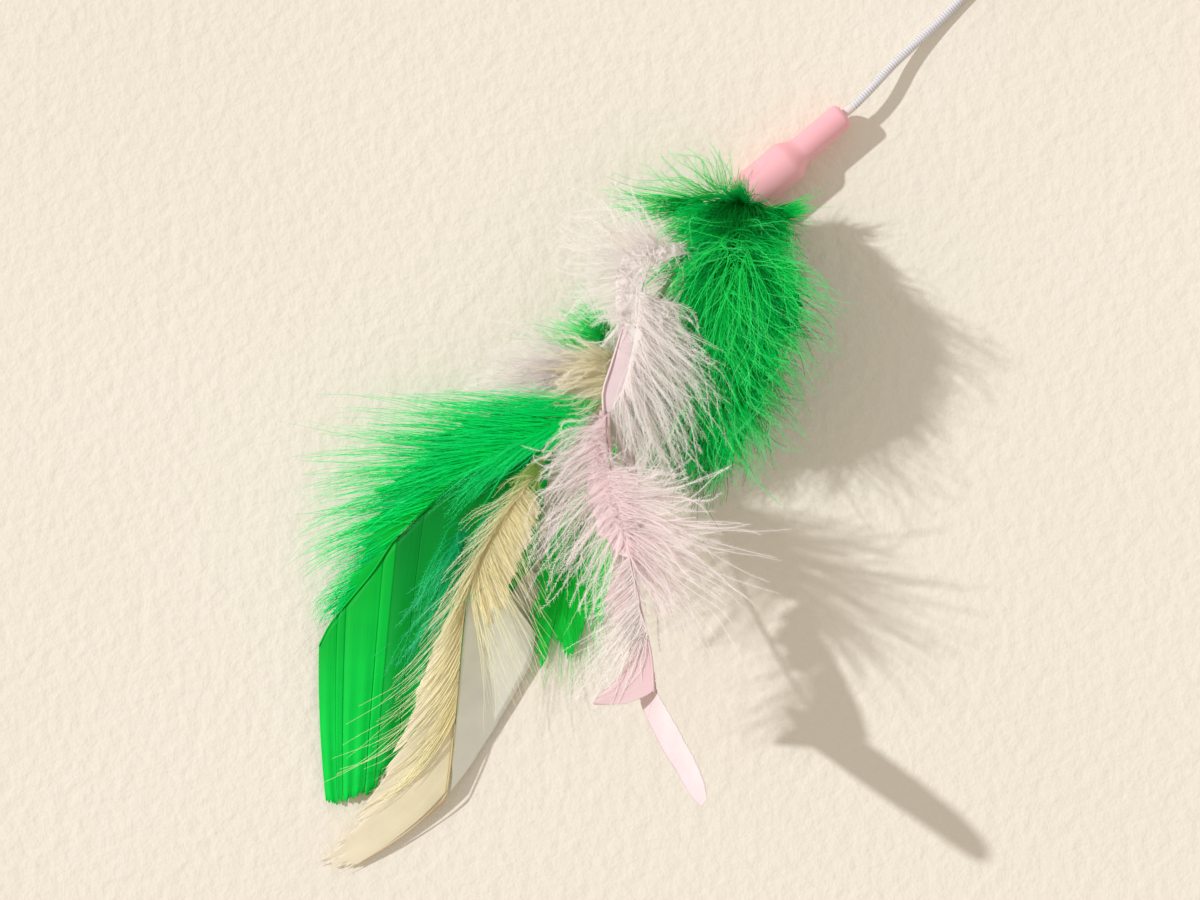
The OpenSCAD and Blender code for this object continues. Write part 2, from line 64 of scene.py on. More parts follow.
# %% Camera straight above the lure
MM = 0.001
TABLE = -4.5  # the table's height in the frame, in mm: the rod lies on its grip
PICTURE = (1200, 900)
PER_MM = 4.8  # picture points to a millimetre of the table
VIEW_CENTRE = np.array([-145.0, 291.25])
LENS = 100.0
SENSOR = 36.0
CAMERA_RISE = LENS * PICTURE[0] / PER_MM / SENSOR

camera = bpy.data.objects.new("Camera", bpy.data.cameras.new("Camera"))
bpy.context.scene.collection.objects.link(camera)
camera.data.lens = LENS
camera.data.sensor_width = SENSOR
camera.data.clip_start = 0.01
camera.location = (*(VIEW_CENTRE * MM), (TABLE + CAMERA_RISE) * MM)
bpy.context.scene.camera = camera


def seen(across, down, rise):
    """The place in mm that the camera sees there in the picture, at a rise above the table."""
    nearer = (1 - rise / CAMERA_RISE) / PER_MM
    x = VIEW_CENTRE[0] + (across - PICTURE[0] / 2) * nearer
    y = VIEW_CENTRE[1] - (down - PICTURE[1] / 2) * nearer
    return [x, y, TABLE + rise]


print("camera height above the table, mm:", round(CAMERA_RISE, 1))

# %% [markdown]
# ## Smooth lines and strands
# Everything soft on this object is long and thin: the cord, the feathers' shafts and thousands of
# barbs. Each is a skin swept along a smooth line. An array does that for all strands of a feather
# at once, which keeps the script quick, and it gives closed, solid strands that look right from
# any side.


# %% Smooth curve through rows of numbers
UP = np.array([0.0, 0.0, 1.0])


def smooth_rows(rows, at):
    """Rows of numbers read smoothly at places from 0 to 1 along them."""
    rows = np.asarray(rows, float)
    last = len(rows) - 1
    slope = np.gradient(rows, axis=0) if last > 0 else rows * 0
    place = np.clip(np.asarray(at), 0, 1) * last
    i = np.minimum(place.astype(int), last - 1)
    t = (place - i)[:, None]
    a, b, sa, sb = rows[i], rows[i + 1], slope[i], slope[i + 1]
    return (
        (2 * t**3 - 3 * t**2 + 1) * a
        + (t**3 - 2 * t**2 + t) * sa
        + (3 * t**2 - 2 * t**3) * b
        + (t**3 - t**2) * sb
    )


def unit(v):
    return v / np.maximum(np.linalg.norm(v, axis=-1, keepdims=True), 1e-9)


def frames_along(lines, up):
    """For each point of each line: its direction, the side direction and the one off the face."""
    ahead = unit(np.gradient(lines, axis=1))
    side = unit(np.cross(up[:, None, :], ahead))
    return ahead, side, np.cross(ahead, side)


# %% A bundle of strands that becomes one mesh
CELL_EDGE, CELL_FILL = 0.06, 0.88  # a strand's map starts here in its own cell and fills so much
SHEET_SIDE = (0.46, 0.86)  # the part of the map that one side of a sheet fills
RIM_FROM, RIM_ROW, RIM_TALL, RIM_WIDE = 0.88, 0.03, 0.025, 0.96  # the sheet's four rims, above it
HAIR_FROM, HAIR_TO = 0.1, 0.97  # where barbules start and stop along their barb
HAIR_LEAN, HAIR_LEAN_SPREAD = 40.0, 9  # degrees between a barbule and its barb
HAIR_LENGTHS = (0.6, 1.15)


class Bundle:
    """Strands, each with its own cell in a map and with its place along it kept as a number."""

    def __init__(self, facing=UP):
        self.facing = facing
        self.points, self.loops, self.totals = [], [], []
        self.along, self.tone, self.across, self.maps, self.round = [], [], [], [], []
        self.cells, self.size = 0, 0

    def add(self, points, loops, totals, along, tone, cell, flat, across=None, soft=False):
        self.points.append(points)
        self.loops.append(loops + self.size)
        self.totals.append(totals)
        self.along.append(along)
        self.tone.append(tone)
        self.across.append(np.zeros(len(points)) if across is None else across)
        self.maps.append((cell + self.cells, flat))
        self.round.append(np.full(len(totals), soft))
        self.size += len(points)
        self.cells += int(cell.max()) + 1

    def strands(self, lines, half, thick, up, tone, sides=3):
        """A closed skin round each line: half is its half width and thick its half thickness."""
        n, k, _ = lines.shape
        _, side, off = frames_along(lines, up)
        turn = 2 * math.pi * (np.arange(sides) + (0.25 if sides == 3 else 0)) / sides
        ring = (
            lines[:, :, None]
            + (half[:, :, None] * np.cos(turn))[..., None] * side[:, :, None]
            + (thick[:, :, None] * np.sin(turn))[..., None] * off[:, :, None]
        )
        first = np.arange(n)[:, None, None] * k * sides
        i = np.arange(k - 1)[None, :, None] * sides
        a = np.arange(sides)[None, None, :]
        b = (a + 1) % sides
        low = first + i
        walls = np.stack([low + a, low + b, low + sides + b, low + sides + a], -1)
        caps = np.stack(
            [
                np.arange(n)[:, None] * k * sides + np.arange(sides)[::-1][None],
                np.arange(n)[:, None] * k * sides + (k - 1) * sides + np.arange(sides)[None],
            ],
            1,
        )
        share = np.broadcast_to(np.linspace(0, 1, k)[None, :, None], (n, k, sides))
        v = np.linspace(0.1, 0.9, k)
        wall_map = np.zeros((n, k - 1, sides, 4, 2))
        wall_map[..., 0] = (np.arange(sides)[:, None] + np.array([0, 1, 1, 0])) / sides
        wall_map[..., 1] = np.stack([v[:-1], v[:-1], v[1:], v[1:]], -1)[None, :, None, :]
        cap_map = np.zeros((n, 2, sides, 2))
        cap_map[..., 0] = 0.3 + 0.3 * np.cos(turn)
        cap_map[..., 1] = 0.045 + 0.04 * np.sin(turn)
        cap_map[:, 1, :, 1] += 0.91
        cell = np.arange(n)
        self.add(
            ring.reshape(-1, 3),
            np.concatenate([walls.reshape(-1), caps.reshape(-1)]),
            np.concatenate([np.full(n * (k - 1) * sides, 4), np.full(n * 2, sides)]),
            share.reshape(-1),
            np.repeat(tone, k * sides),
            np.concatenate([np.repeat(cell, (k - 1) * sides * 4), np.repeat(cell, 2 * sides)]),
            np.concatenate([wall_map.reshape(-1, 2), cap_map.reshape(-1, 2)]),
            soft=sides > 4,
        )

    def side_hairs(self, lines, up, tone, rng, each, length, half, twist):
        """Short pointed barbules on both sides of each line."""
        n, k, _ = lines.shape
        ahead, side, off = frames_along(lines, up)
        f = np.linspace(HAIR_FROM, HAIR_TO, each)[None] + rng.uniform(-0.4, 0.4, (n, each)) / each
        f = np.clip(f, 0, 0.999) * (k - 1)
        i = f.astype(int)
        t = (f - i)[..., None]
        row = np.arange(n)[:, None]
        at = lines[row, i] * (1 - t) + lines[row, i + 1] * t
        go = np.where(np.arange(each)[None] % 2 == 0, 0.0, math.pi)
        go = go + rng.normal(0, twist, (n, each))
        tilt = np.radians(HAIR_LEAN + rng.normal(0, HAIR_LEAN_SPREAD, (n, each)))[..., None]
        out = np.cos(go)[..., None] * side[row, i] + np.sin(go)[..., None] * off[row, i]
        way = unit(np.cos(tilt) * ahead[row, i] + np.sin(tilt) * out)
        reach = length * (1 - 0.55 * f / (k - 1)) * rng.uniform(*HAIR_LENGTHS, (n, each))
        one = unit(np.cross(self.facing, way) + 1e-6)
        two = np.cross(way, one)
        base = [at + half * (c * one + s * two) for c, s in ((1, 0), (-1, 0), (0, -0.5))]
        points = np.stack([*base, at + way * reach[..., None]], 2).reshape(-1, 3)
        corner = np.array([[0, 2, 1], [0, 1, 3], [1, 2, 3], [2, 0, 3]])
        m = n * each
        loops = (np.arange(m)[:, None, None] * 4 + corner[None]).reshape(-1)
        flat = np.tile(np.array([[0.1, 0.05], [0.9, 0.05], [0.5, 0.95]]), (m * 4, 1))
        self.add(
            points,
            loops,
            np.full(m * 4, 3),
            np.repeat((f / (k - 1)).reshape(-1), 4),
            np.repeat(np.repeat(tone, each), 4),
            np.repeat(np.arange(n), each * 12),
            flat,
        )

    def sheet(self, grid, thick, along, across, tone):
        """A thin closed sheet through a grid of points, facing up on its first side."""
        n, k, _ = grid.shape
        normal = unit(np.cross(np.gradient(grid, axis=0), np.gradient(grid, axis=1)))
        turned = normal[..., 2].mean() < 0
        normal = -normal if turned else normal
        half = (thick / 2)[..., None] * normal
        points = np.concatenate([(grid + half).reshape(-1, 3), (grid - half).reshape(-1, 3)])
        i, j = np.meshgrid(np.arange(n - 1), np.arange(k - 1), indexing="ij")
        a = (i * k + j).reshape(-1)
        top = np.stack([a, a + k, a + k + 1, a + 1], -1)
        low = top[:, ::-1] + n * k
        r, c = np.arange(n - 1) * k, np.arange(k - 1)
        far = (n - 1) * k
        edges = [(r + k, r), (r + k - 1, r + 2 * k - 1), (c, c + 1), (far + c + 1, far + c)]
        rims = [np.stack([p, q, q + n * k, p + n * k], -1) for p, q in edges]
        u, v = i.reshape(-1) / (n - 1), j.reshape(-1) / (k - 1)
        du, dv = 1 / (n - 1), 1 / (k - 1)
        corners = np.stack([u, u + du, u + du, u], -1), np.stack([v, v, v + dv, v + dv], -1)
        flat_top = np.stack(corners, -1) * SHEET_SIDE
        maps = [flat_top, flat_top[:, ::-1] + [0.5, 0.0]]
        for row, rim in enumerate(rims):
            w = np.arange(len(rim)) / len(rim)
            low_edge = RIM_FROM + RIM_ROW * row
            high_edge = low_edge + RIM_TALL
            x = np.stack([w, w + 1 / len(rim), w + 1 / len(rim), w], -1) * RIM_WIDE
            y = np.broadcast_to([low_edge, low_edge, high_edge, high_edge], x.shape)
            maps.append(np.stack([x, y], -1))
        faces = np.concatenate([top, low, *rims])
        flat = np.concatenate(maps)
        if turned:
            faces, flat = faces[:, ::-1], flat[:, ::-1]
        self.add(
            points,
            faces.reshape(-1),
            np.full(len(faces), 4),
            np.tile(along.reshape(-1), 2),
            np.tile(tone.reshape(-1), 2),
            np.zeros(len(faces) * 4, int),
            flat.reshape(-1, 2),
            np.tile(across.reshape(-1), 2),
            soft=True,
        )

    def mesh(self, name):
        """One mesh object at the origin, in metres."""
        points = np.concatenate(self.points) * MM
        loops = np.concatenate(self.loops).astype(np.int32)
        totals = np.concatenate(self.totals).astype(np.int32)
        data = bpy.data.meshes.new(name)
        data.vertices.add(len(points))
        data.vertices.foreach_set("co", points.astype(np.float32).reshape(-1))
        data.loops.add(len(loops))
        data.loops.foreach_set("vertex_index", loops)
        data.polygons.add(len(totals))
        starts = np.concatenate([[0], np.cumsum(totals)[:-1]]).astype(np.int32)
        data.polygons.foreach_set("loop_start", starts)
        data.polygons.foreach_set("use_smooth", np.concatenate(self.round))
        columns = math.ceil(math.sqrt(self.cells))
        flat = np.concatenate([m for _, m in self.maps])
        cell = np.concatenate([c for c, _ in self.maps])
        spot = np.stack([cell % columns, cell // columns], -1)
        place = (spot + CELL_EDGE + CELL_FILL * flat) / columns
        layer = data.uv_layers.new(name="OFBake")
        layer.data.foreach_set("uv", place.astype(np.float32).reshape(-1))
        for label, values in (("along", self.along), ("tone", self.tone), ("across", self.across)):
            kept = data.attributes.new(label, "FLOAT", "POINT")
            kept.data.foreach_set("value", np.concatenate(values).astype(np.float32))
        data.update(calc_edges=True)
        data.validate()
        thing = bpy.data.objects.new(name, data)
        bpy.context.scene.collection.objects.link(thing)
        triangles = int((totals - 2).sum())
        print(f"{name}: {triangles} triangles")
        return thing


# %% [markdown]
# ## The elastic cord
# A teaser's cord is a round elastic about 1.8 mm thick, closely wrapped in thread, so it shows
# fine slanting ribs and has no stiffness of its own. It runs from the rod's tip to the lure. Most
# of it is put away in a coil beside the rod's tip, which the picture doesn't show. The route
# repeats the CAD model's own points, so the soft cord lies where the collision solids are.

# %% Route of the cord, in millimetres
CORD_D = 1.8
CORD_STEP = 0.2
LEAD = [
    [-70, 391.2, 8.3], [-66, 391.2, 8], [-62, 391.3, 7.2], [-58, 391.5, 6.1], [-54, 391.8, 4.9],
    [-50, 392.2, 3.8], [-46, 392.7, 2.8], [-42, 393.3, 2], [-38, 394, 1.5], [-34, 394.8, 1.2],
    [-30, 395.6, 1], [-26, 396.4, 1], [-22, 397.2, 1], [-18, 397.9, 1], [-14, 398.2, 1],
    [-10, 397.9, 1.2], [-6.5, 396.5, 1.7], [-3.6, 394, 2.5], [-1.6, 391, 3.5], [-0.5, 388, 4.2],
    [0, 385, 4.5], [0, 382, 4.5],
]
RUN = [
    [-92.1, 362.8, 5], [-89.5, 365.4, 4.7], [-86.8, 368.3, 4], [-84, 371.3, 3.1], [-81, 374.2, 2.3],
    [-78, 377, 1.7], [-75, 379.9, 1.3], [-72, 382.9, 1.1], [-69, 386.1, 1.1], [-66, 389.4, 1.2],
    [-63.2, 392.5, 1.4], [-60.64, 395.27, 1.55],
]
TIE_ON = np.array([-93.0, 362.0, TABLE + 5.0])
OUT = np.array([math.cos(math.radians(220)), math.sin(math.radians(220)), 0.0])
COIL_PITCH = 2.25
COIL_R = 12.8
COIL_TURNS = 8 + 313 / 360
COIL_LAYERS = 4
COIL_CENTRE = (-70, 404)
COIL_LOW = 0.4 + 0.1 + 0.15 + CORD_D / 2
COIL_START = -43
CLIMB = 0.5


def coil_point(turns):
    """Where the cord lies after that many turns, spiralling in and out again in four layers."""
    layer_turns = COIL_TURNS / COIL_LAYERS
    layer = min(int(turns / layer_turns), COIL_LAYERS - 1)
    here = (turns - layer * layer_turns) * COIL_PITCH
    inner = COIL_R - layer_turns * COIL_PITCH
    r = COIL_R - here if layer % 2 == 0 else inner + here
    past = [(turns - k * layer_turns) / CLIMB for k in range(1, COIL_LAYERS)]
    climb = sum(min(1, max(0, share + 0.5)) for share in past)
    angle = math.radians(COIL_START + turns * 360)
    x = COIL_CENTRE[0] + r * math.cos(angle)
    return [x, COIL_CENTRE[1] + r * math.sin(angle), COIL_LOW + COIL_PITCH * climb]


def evenly(points, gap):
    """The same line with points that far apart, smooth through the given ones."""
    points = np.asarray(points, float)
    fine = smooth_rows(points, np.linspace(0, 1, len(points) * 12))
    walk = np.concatenate([[0], np.cumsum(np.linalg.norm(np.diff(fine, axis=0), axis=1))])
    at = np.linspace(0, walk[-1], max(2, round(walk[-1] / gap) + 1))
    return np.stack([np.interp(at, walk, fine[:, i]) for i in range(3)], -1), walk[-1]


turns = np.linspace(COIL_TURNS, 0, round(COIL_TURNS * 24) + 1)
route = LEAD[::-1][:-1] + [coil_point(t) for t in turns] + RUN[::-1][1:]
route = np.array(route) + [0, 0, TABLE]
inside = [TIE_ON + OUT * x for x in (0, 1, 2, 4, 7, 10)]
cord_line, cord_length = evenly(np.concatenate([route, inside]), CORD_STEP)
print("cord length, mm:", round(cord_length, 1))

# %% Skin of the cord, with its slanting ribs
RIB_GAP = 0.62
RIB_DEPTH = 0.035
CORD_SIDES = 12
walked = np.arange(len(cord_line)) * CORD_STEP
ahead = unit(np.gradient(cord_line, axis=0))
side = unit(np.cross(UP, ahead))
off = np.cross(ahead, side)
around = 2 * math.pi * np.arange(CORD_SIDES) / CORD_SIDES
rib = np.abs(np.sin(math.pi * walked[:, None] / RIB_GAP + around[None] / 2))
radius = CORD_D / 2 * (1 - RIB_DEPTH + RIB_DEPTH * rib)
skin = (
    cord_line[:, None]
    + (radius * np.cos(around))[..., None] * side[:, None]
    + (radius * np.sin(around))[..., None] * off[:, None]
)
count = len(cord_line)
i = np.arange(count - 1)[:, None] * CORD_SIDES
a = np.arange(CORD_SIDES)[None]
b = (a + 1) % CORD_SIDES
faces = np.stack([i + a, i + b, i + CORD_SIDES + b, i + CORD_SIDES + a], -1).reshape(-1, 4).tolist()
faces += [list(range(CORD_SIDES))[::-1], list(range((count - 1) * CORD_SIDES, count * CORD_SIDES))]
data = bpy.data.meshes.new("elastic_cord")
data.from_pydata((skin.reshape(-1, 3) * MM).tolist(), [], faces)
data.polygons.foreach_set("use_smooth", np.ones(len(faces), bool))
for label, values in (("along", np.repeat(walked, CORD_SIDES)), ("rib", rib.reshape(-1))):
    number = data.attributes.new(label, "FLOAT", "POINT")
    number.data.foreach_set("value", values.astype(np.float32))
cord = bpy.data.objects.new("elastic_cord", data)
bpy.context.scene.collection.objects.link(cord)
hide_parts("cord_lead", "cord_coil", "cord_run")
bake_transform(cord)

# %% [markdown]
# ## Finishes
# A material here is a short chain of nodes: a colour that varies a little, a roughness, and a
# bump for what is too fine to model. The helpers below keep each finish to a few lines. Colours
# are written as they look on a screen, from 0 to 255, and turned into the light values that a
# shader wants.


# %% Helpers for materials
def tint(red, green, blue, gain=1.0):
    """A screen colour as light values, made brighter by a gain where strands shade each other."""
    share = np.array([red, green, blue]) / 255
    light = np.where(share <= 0.04045, share / 12.92, ((share + 0.055) / 1.055) ** 2.4) * gain
    return tuple(float(x) for x in np.minimum(light, 0.98))


def finish(name):
    """A new material with its node tree and its main shader."""
    material = bpy.data.materials.new(name)
    material.use_nodes = True
    tree = material.node_tree
    return material, tree, tree.nodes["Principled BSDF"]


def node(tree, kind, **inputs):
    made = tree.nodes.new(kind)
    for key, value in inputs.items():
        made.inputs[key.replace("_", " ")].default_value = value
    return made


def speckle(tree, scale, detail=3.0, rough=0.5, vector=None):
    """Noise on the object's own coordinates, or on a vector that a mesh keeps."""
    noise = node(tree, "ShaderNodeTexNoise", Scale=scale, Detail=detail, Roughness=rough)
    if vector is None:
        vector = tree.nodes.new("ShaderNodeTexCoord").outputs["Object"]
    tree.links.new(vector, noise.inputs["Vector"])
    return noise


def blended(tree, share, first, second, low=0.35, high=0.65):
    """Two colours mixed by a share, which runs from low to high."""
    ramp = tree.nodes.new("ShaderNodeValToRGB")
    ramp.color_ramp.elements[0].position = low
    ramp.color_ramp.elements[0].color = (*first, 1)
    ramp.color_ramp.elements[1].position = high
    ramp.color_ramp.elements[1].color = (*second, 1)
    tree.links.new(share, ramp.inputs["Fac"])
    return ramp


def ranged(tree, share, low, high):
    """A share from 0 to 1 turned into a number between two others."""
    made = node(tree, "ShaderNodeMapRange")
    made.inputs["To Min"].default_value = low
    made.inputs["To Max"].default_value = high
    tree.links.new(share, made.inputs["Value"])
    return made.outputs["Result"]


def sum_of(tree, operation, first, second):
    made = tree.nodes.new("ShaderNodeMath")
    made.operation = operation
    for place, value in enumerate((first, second)):
        if isinstance(value, float):
            made.inputs[place].default_value = value
        else:
            tree.links.new(value, made.inputs[place])
    return made.outputs["Value"]


def raised(tree, shader, height, strength, distance):
    bump = node(tree, "ShaderNodeBump", Strength=strength, Distance=distance)
    tree.links.new(height, bump.inputs["Height"])
    tree.links.new(bump.outputs["Normal"], shader.inputs["Normal"])


def kept(tree, name):
    """A number that the mesh keeps at each of its points."""
    made = tree.nodes.new("ShaderNodeAttribute")
    made.attribute_name = name
    return made.outputs["Fac"]


# %% Cord, sleeve and rod finishes
def soft_plastic(name, light, deep, roughness, grain=2500.0, depth=0.00002):
    material, tree, shader = finish(name)
    ramp = blended(tree, speckle(tree, 90.0).outputs["Fac"], tint(*deep), tint(*light))
    tree.links.new(ramp.outputs["Color"], shader.inputs["Base Color"])
    shader.inputs["Roughness"].default_value = roughness
    raised(tree, shader, speckle(tree, grain).outputs["Fac"], 0.25, depth)
    return material


def cord_finish():
    material, tree, shader = finish("wrapped_elastic")
    # The colour darkens into the grooves between the ribs: painted shade.
    ramp = blended(tree, kept(tree, "rib"), tint(172, 166, 174), tint(232, 229, 232), 0.1, 0.75)
    tree.links.new(ramp.outputs["Color"], shader.inputs["Base Color"])
    shader.inputs["Roughness"].default_value = 0.42
    raised(tree, shader, speckle(tree, 6000.0).outputs["Fac"], 0.3, 0.00002)
    return material


cord.data.materials.append(cord_finish())
sleeve_pink = soft_plastic("soft_pink_rubber", (252, 184, 192), (249, 178, 187), 0.4)
rod_white = soft_plastic("white_fibreglass", (238, 238, 236), (230, 230, 228), 0.28, 900.0)
tie_paper = soft_plastic("pale_tape", (230, 224, 214), (218, 212, 202), 0.6)
glue_clear = soft_plastic("set_glue", (226, 210, 176), (218, 200, 160), 0.2)
thread_white = soft_plastic("binding_thread", (238, 226, 222), (226, 212, 208), 0.8)


def dress(name, material):
    nodes[name].data.materials.clear()
    nodes[name].data.materials.append(material)


dress("rod", rod_white)
for name in ("grip", "end_cap", "tip_sleeve", "lure_sleeve"):
    dress(name, sleeve_pink)
for name in ("tip_cord_tail", "tip_knot", "lure_cord_end", "lure_knot", "thread_binding"):
    dress(name, thread_white)
dress("coil_tie", tie_paper)
dress("glue_plug", glue_clear)

# %% [markdown]
# ## Feather finish
# A dyed feather is deepest in colour near its shaft and paler at the tips of its barbs, where few
# of them overlap. On the green plume the dark roots are also painted shade, deep among its crowded
# barbs. Light also passes through the thin barbs, so a feather glows on the side away from the
# lamp. Each strand keeps a number for its place from root to tip and another for its own shade,
# and the material reads both. A smooth blade also keeps its place across the barbs, in mm, which
# draws the fine lines of its barbs. A share of translucent shader lets the light through.


# %% Feather material
def feather_finish(
    name, root, middle, tip, through=0.3, spread=0.3, roughness=0.6, lines=0.0, gloss=0.12
):
    """Screen colours along the barbs, the share of light let through and the spread of shades."""
    material, tree, shader = finish(name)
    ramp = blended(tree, kept(tree, "along"), tint(*root), tint(*tip), 0.0, 1.0)
    ramp.color_ramp.elements.new(0.45).color = (*tint(*middle), 1)
    shade = ranged(tree, kept(tree, "tone"), 1 - spread, 1 + spread * 0.35)
    patch = ranged(tree, speckle(tree, 160.0, 2.0).outputs["Fac"], 0.9, 1.1)
    share = sum_of(tree, "MULTIPLY", shade, patch)
    height = speckle(tree, 3000.0).outputs["Fac"]
    if lines:
        place = tree.nodes.new("ShaderNodeCombineXYZ")
        tree.links.new(kept(tree, "across"), place.inputs["X"])
        tree.links.new(kept(tree, "along"), place.inputs["Y"])
        height = speckle(tree, 2.6, 3.0, 0.65, place.outputs["Vector"]).outputs["Fac"]
        share = sum_of(tree, "MULTIPLY", share, ranged(tree, height, 1 - lines, 1 + lines))
    colour = tree.nodes.new("ShaderNodeVectorMath")
    colour.operation = "SCALE"
    tree.links.new(ramp.outputs["Color"], colour.inputs[0])
    tree.links.new(share, colour.inputs["Scale"])
    tree.links.new(colour.outputs["Vector"], shader.inputs["Base Color"])
    shader.inputs["Roughness"].default_value = roughness
    shader.inputs["Specular IOR Level"].default_value = gloss
    raised(tree, shader, height, 0.35 if lines else 0.2, 0.0001 if lines else 0.00003)
    glow = tree.nodes.new("ShaderNodeBsdfTranslucent")
    tree.links.new(colour.outputs["Vector"], glow.inputs["Color"])
    mixed = node(tree, "ShaderNodeMixShader", Fac=through)
    tree.links.new(shader.outputs["BSDF"], mixed.inputs[1])
    tree.links.new(glow.outputs["BSDF"], mixed.inputs[2])
    tree.links.new(mixed.outputs["Shader"], tree.nodes["Material Output"].inputs["Surface"])
    return material


# A darker copy of the plume's green: painted shade for the plume's body, its low layers and its
# neck.
plume_painted_shade = feather_finish(
    "green_plume_painted_shade",
    (1, 80, 18, 1.1), (1, 126, 40, 1.2), (2, 150, 52, 1.2), 0.2, gloss=0.05,
)
# The plume's green is its dye. Its dark root colour is partly painted shade deep among the crowded
# barbs.
plume_green = feather_finish(
    "green_plume_dye_and_root_shade",
    (1, 92, 20, 1.2), (2, 180, 70, 1.5), (16, 212, 98, 1.6), 0.3, 0.45, gloss=0.05,
)
# A lighter green for thin barbs that stand out: partly their paler colour and partly painted
# highlight on barbs that catch the light.
wisp_green_highlight = feather_finish(
    "green_wisp_and_painted_highlight", (20, 196, 84, 1.5), (44, 222, 108, 1.5), (110, 238, 146, 1.5), 0.4)
vane_green = feather_finish(
    "dyed_green_vane",
    (0, 182, 54, 1.1), (2, 208, 70, 1.1), (4, 216, 76, 1.1), 0.15, 0.15, 0.5, 0.16,
)
# A darker copy of the goose blade's green for its root half: painted shade where the feathers above
# shade it.
vane_shaded = feather_finish(
    "green_vane_root_painted_shade", (0, 140, 48), (0, 172, 56), (2, 192, 64), 0.15, 0.2, 0.5, 0.16)
goose_green = feather_finish(
    "dyed_goose_strands",
    (2, 226, 98, 1.3), (6, 250, 118, 1.3), (44, 250, 134, 1.3), 0.3, 0.2, gloss=0.05,
)
deep_green = feather_finish(
    "dyed_deep_green",
    (10, 206, 56, 1.2), (14, 218, 62, 1.14), (36, 222, 84, 1.12), 0.2, 0.12, 0.5, 0.12,
)
cream_vane = feather_finish(
    "cream_vane", (255, 241, 204), (255, 241, 206), (255, 240, 214), 0.1, 0.05, 0.55, 0.06)
cream_strand = feather_finish(
    "cream_strands", (255, 243, 194), (255, 246, 204), (255, 248, 216), 0.3, 0.1)
mint_vane = feather_finish(
    "pale_mint_vane", (252, 255, 236), (252, 255, 240), (253, 254, 240), 0.08, 0.02, 0.5, 0.03)
cream_fluff = feather_finish(
    "cream_fluff", (254, 245, 208), (254, 247, 222), (255, 248, 236), 0.35, 0.06)
white_fluff = feather_finish(
    "white_fluff", (255, 244, 240), (255, 246, 242), (255, 248, 243), 0.3, 0.04)
fluff_core = feather_finish(
    "fluff_core", (255, 243, 239), (255, 245, 240), (255, 246, 240), 0.2, 0.03)
# The pink is the vane's own, darkened further as painted shade for the tilted lower vane and its
# fold.
pink_vane = feather_finish(
    "pale_pink_vane", (234, 198, 202), (236, 202, 204), (238, 208, 208), 0.12, 0.05, 0.5, 0.08)
pink_fluff = feather_finish(
    "pale_pink_fluff", (255, 233, 234), (255, 240, 239), (255, 245, 242), 0.3, 0.06)
pink_core = feather_finish(
    "pink_core", (255, 228, 230), (255, 236, 235), (255, 241, 237), 0.15, 0.05)
strip_pink = feather_finish(
    "pink_white_vane", (247, 222, 226), (248, 226, 228), (249, 231, 231), 0.12, 0.05, 0.5, 0.06)
shaft_gold = soft_plastic("golden_shaft", (226, 204, 150), (206, 180, 124), 0.45)


# %% [markdown]
# ## Fans of barbs
# Nearly all that shows of a feather is barbs that leave its shaft in a fan. A few rows say where
# a barb starts, where it bends and where it ends, each as a place in the picture with its height
# above the table, and all the barbs between are read smoothly from them. Chance then makes each
# one a little shorter, longer, wavier or bent away, and neighbours lean together into pointed
# locks.


# %% Fan of barbs
LAMPWARD = unit(np.array([-0.55, 0.16, 1.0]))
PHASES = (0, 6.3)  # a wave starts anywhere in a full turn
LIFT_BEAT = (3, 8)  # how fast a barb waves up and down along its length
BARB_FLOOR = TABLE + 0.15
BLADE_FLOOR = TABLE + 0.2
BARB_FLAT = 0.4  # a barb's thickness beside its width
FACE_SCATTER = 0.15
TONE_PATCHES = 60
SHAFT_STEP = 2.0
SPINE_STEPS = 400


def places(*numbers):
    """Rows of nine numbers: a barb's start, bend and end, each as across, down and height."""
    return np.array(numbers, float).reshape(-1, 3, 3)


def bent(at, f):
    """Points along barbs that start, bend and end at given places."""
    return (1 - f) ** 2 * at[:, None, 0] + 2 * f * (1 - f) * at[:, None, 1] + f**2 * at[:, None, 2]


def rows_in_mm(rows):
    """Places in the picture turned into nine numbers a row in the frame, in mm."""
    return np.array([[seen(*p) for p in row] for row in rows]).reshape(len(rows), 9)


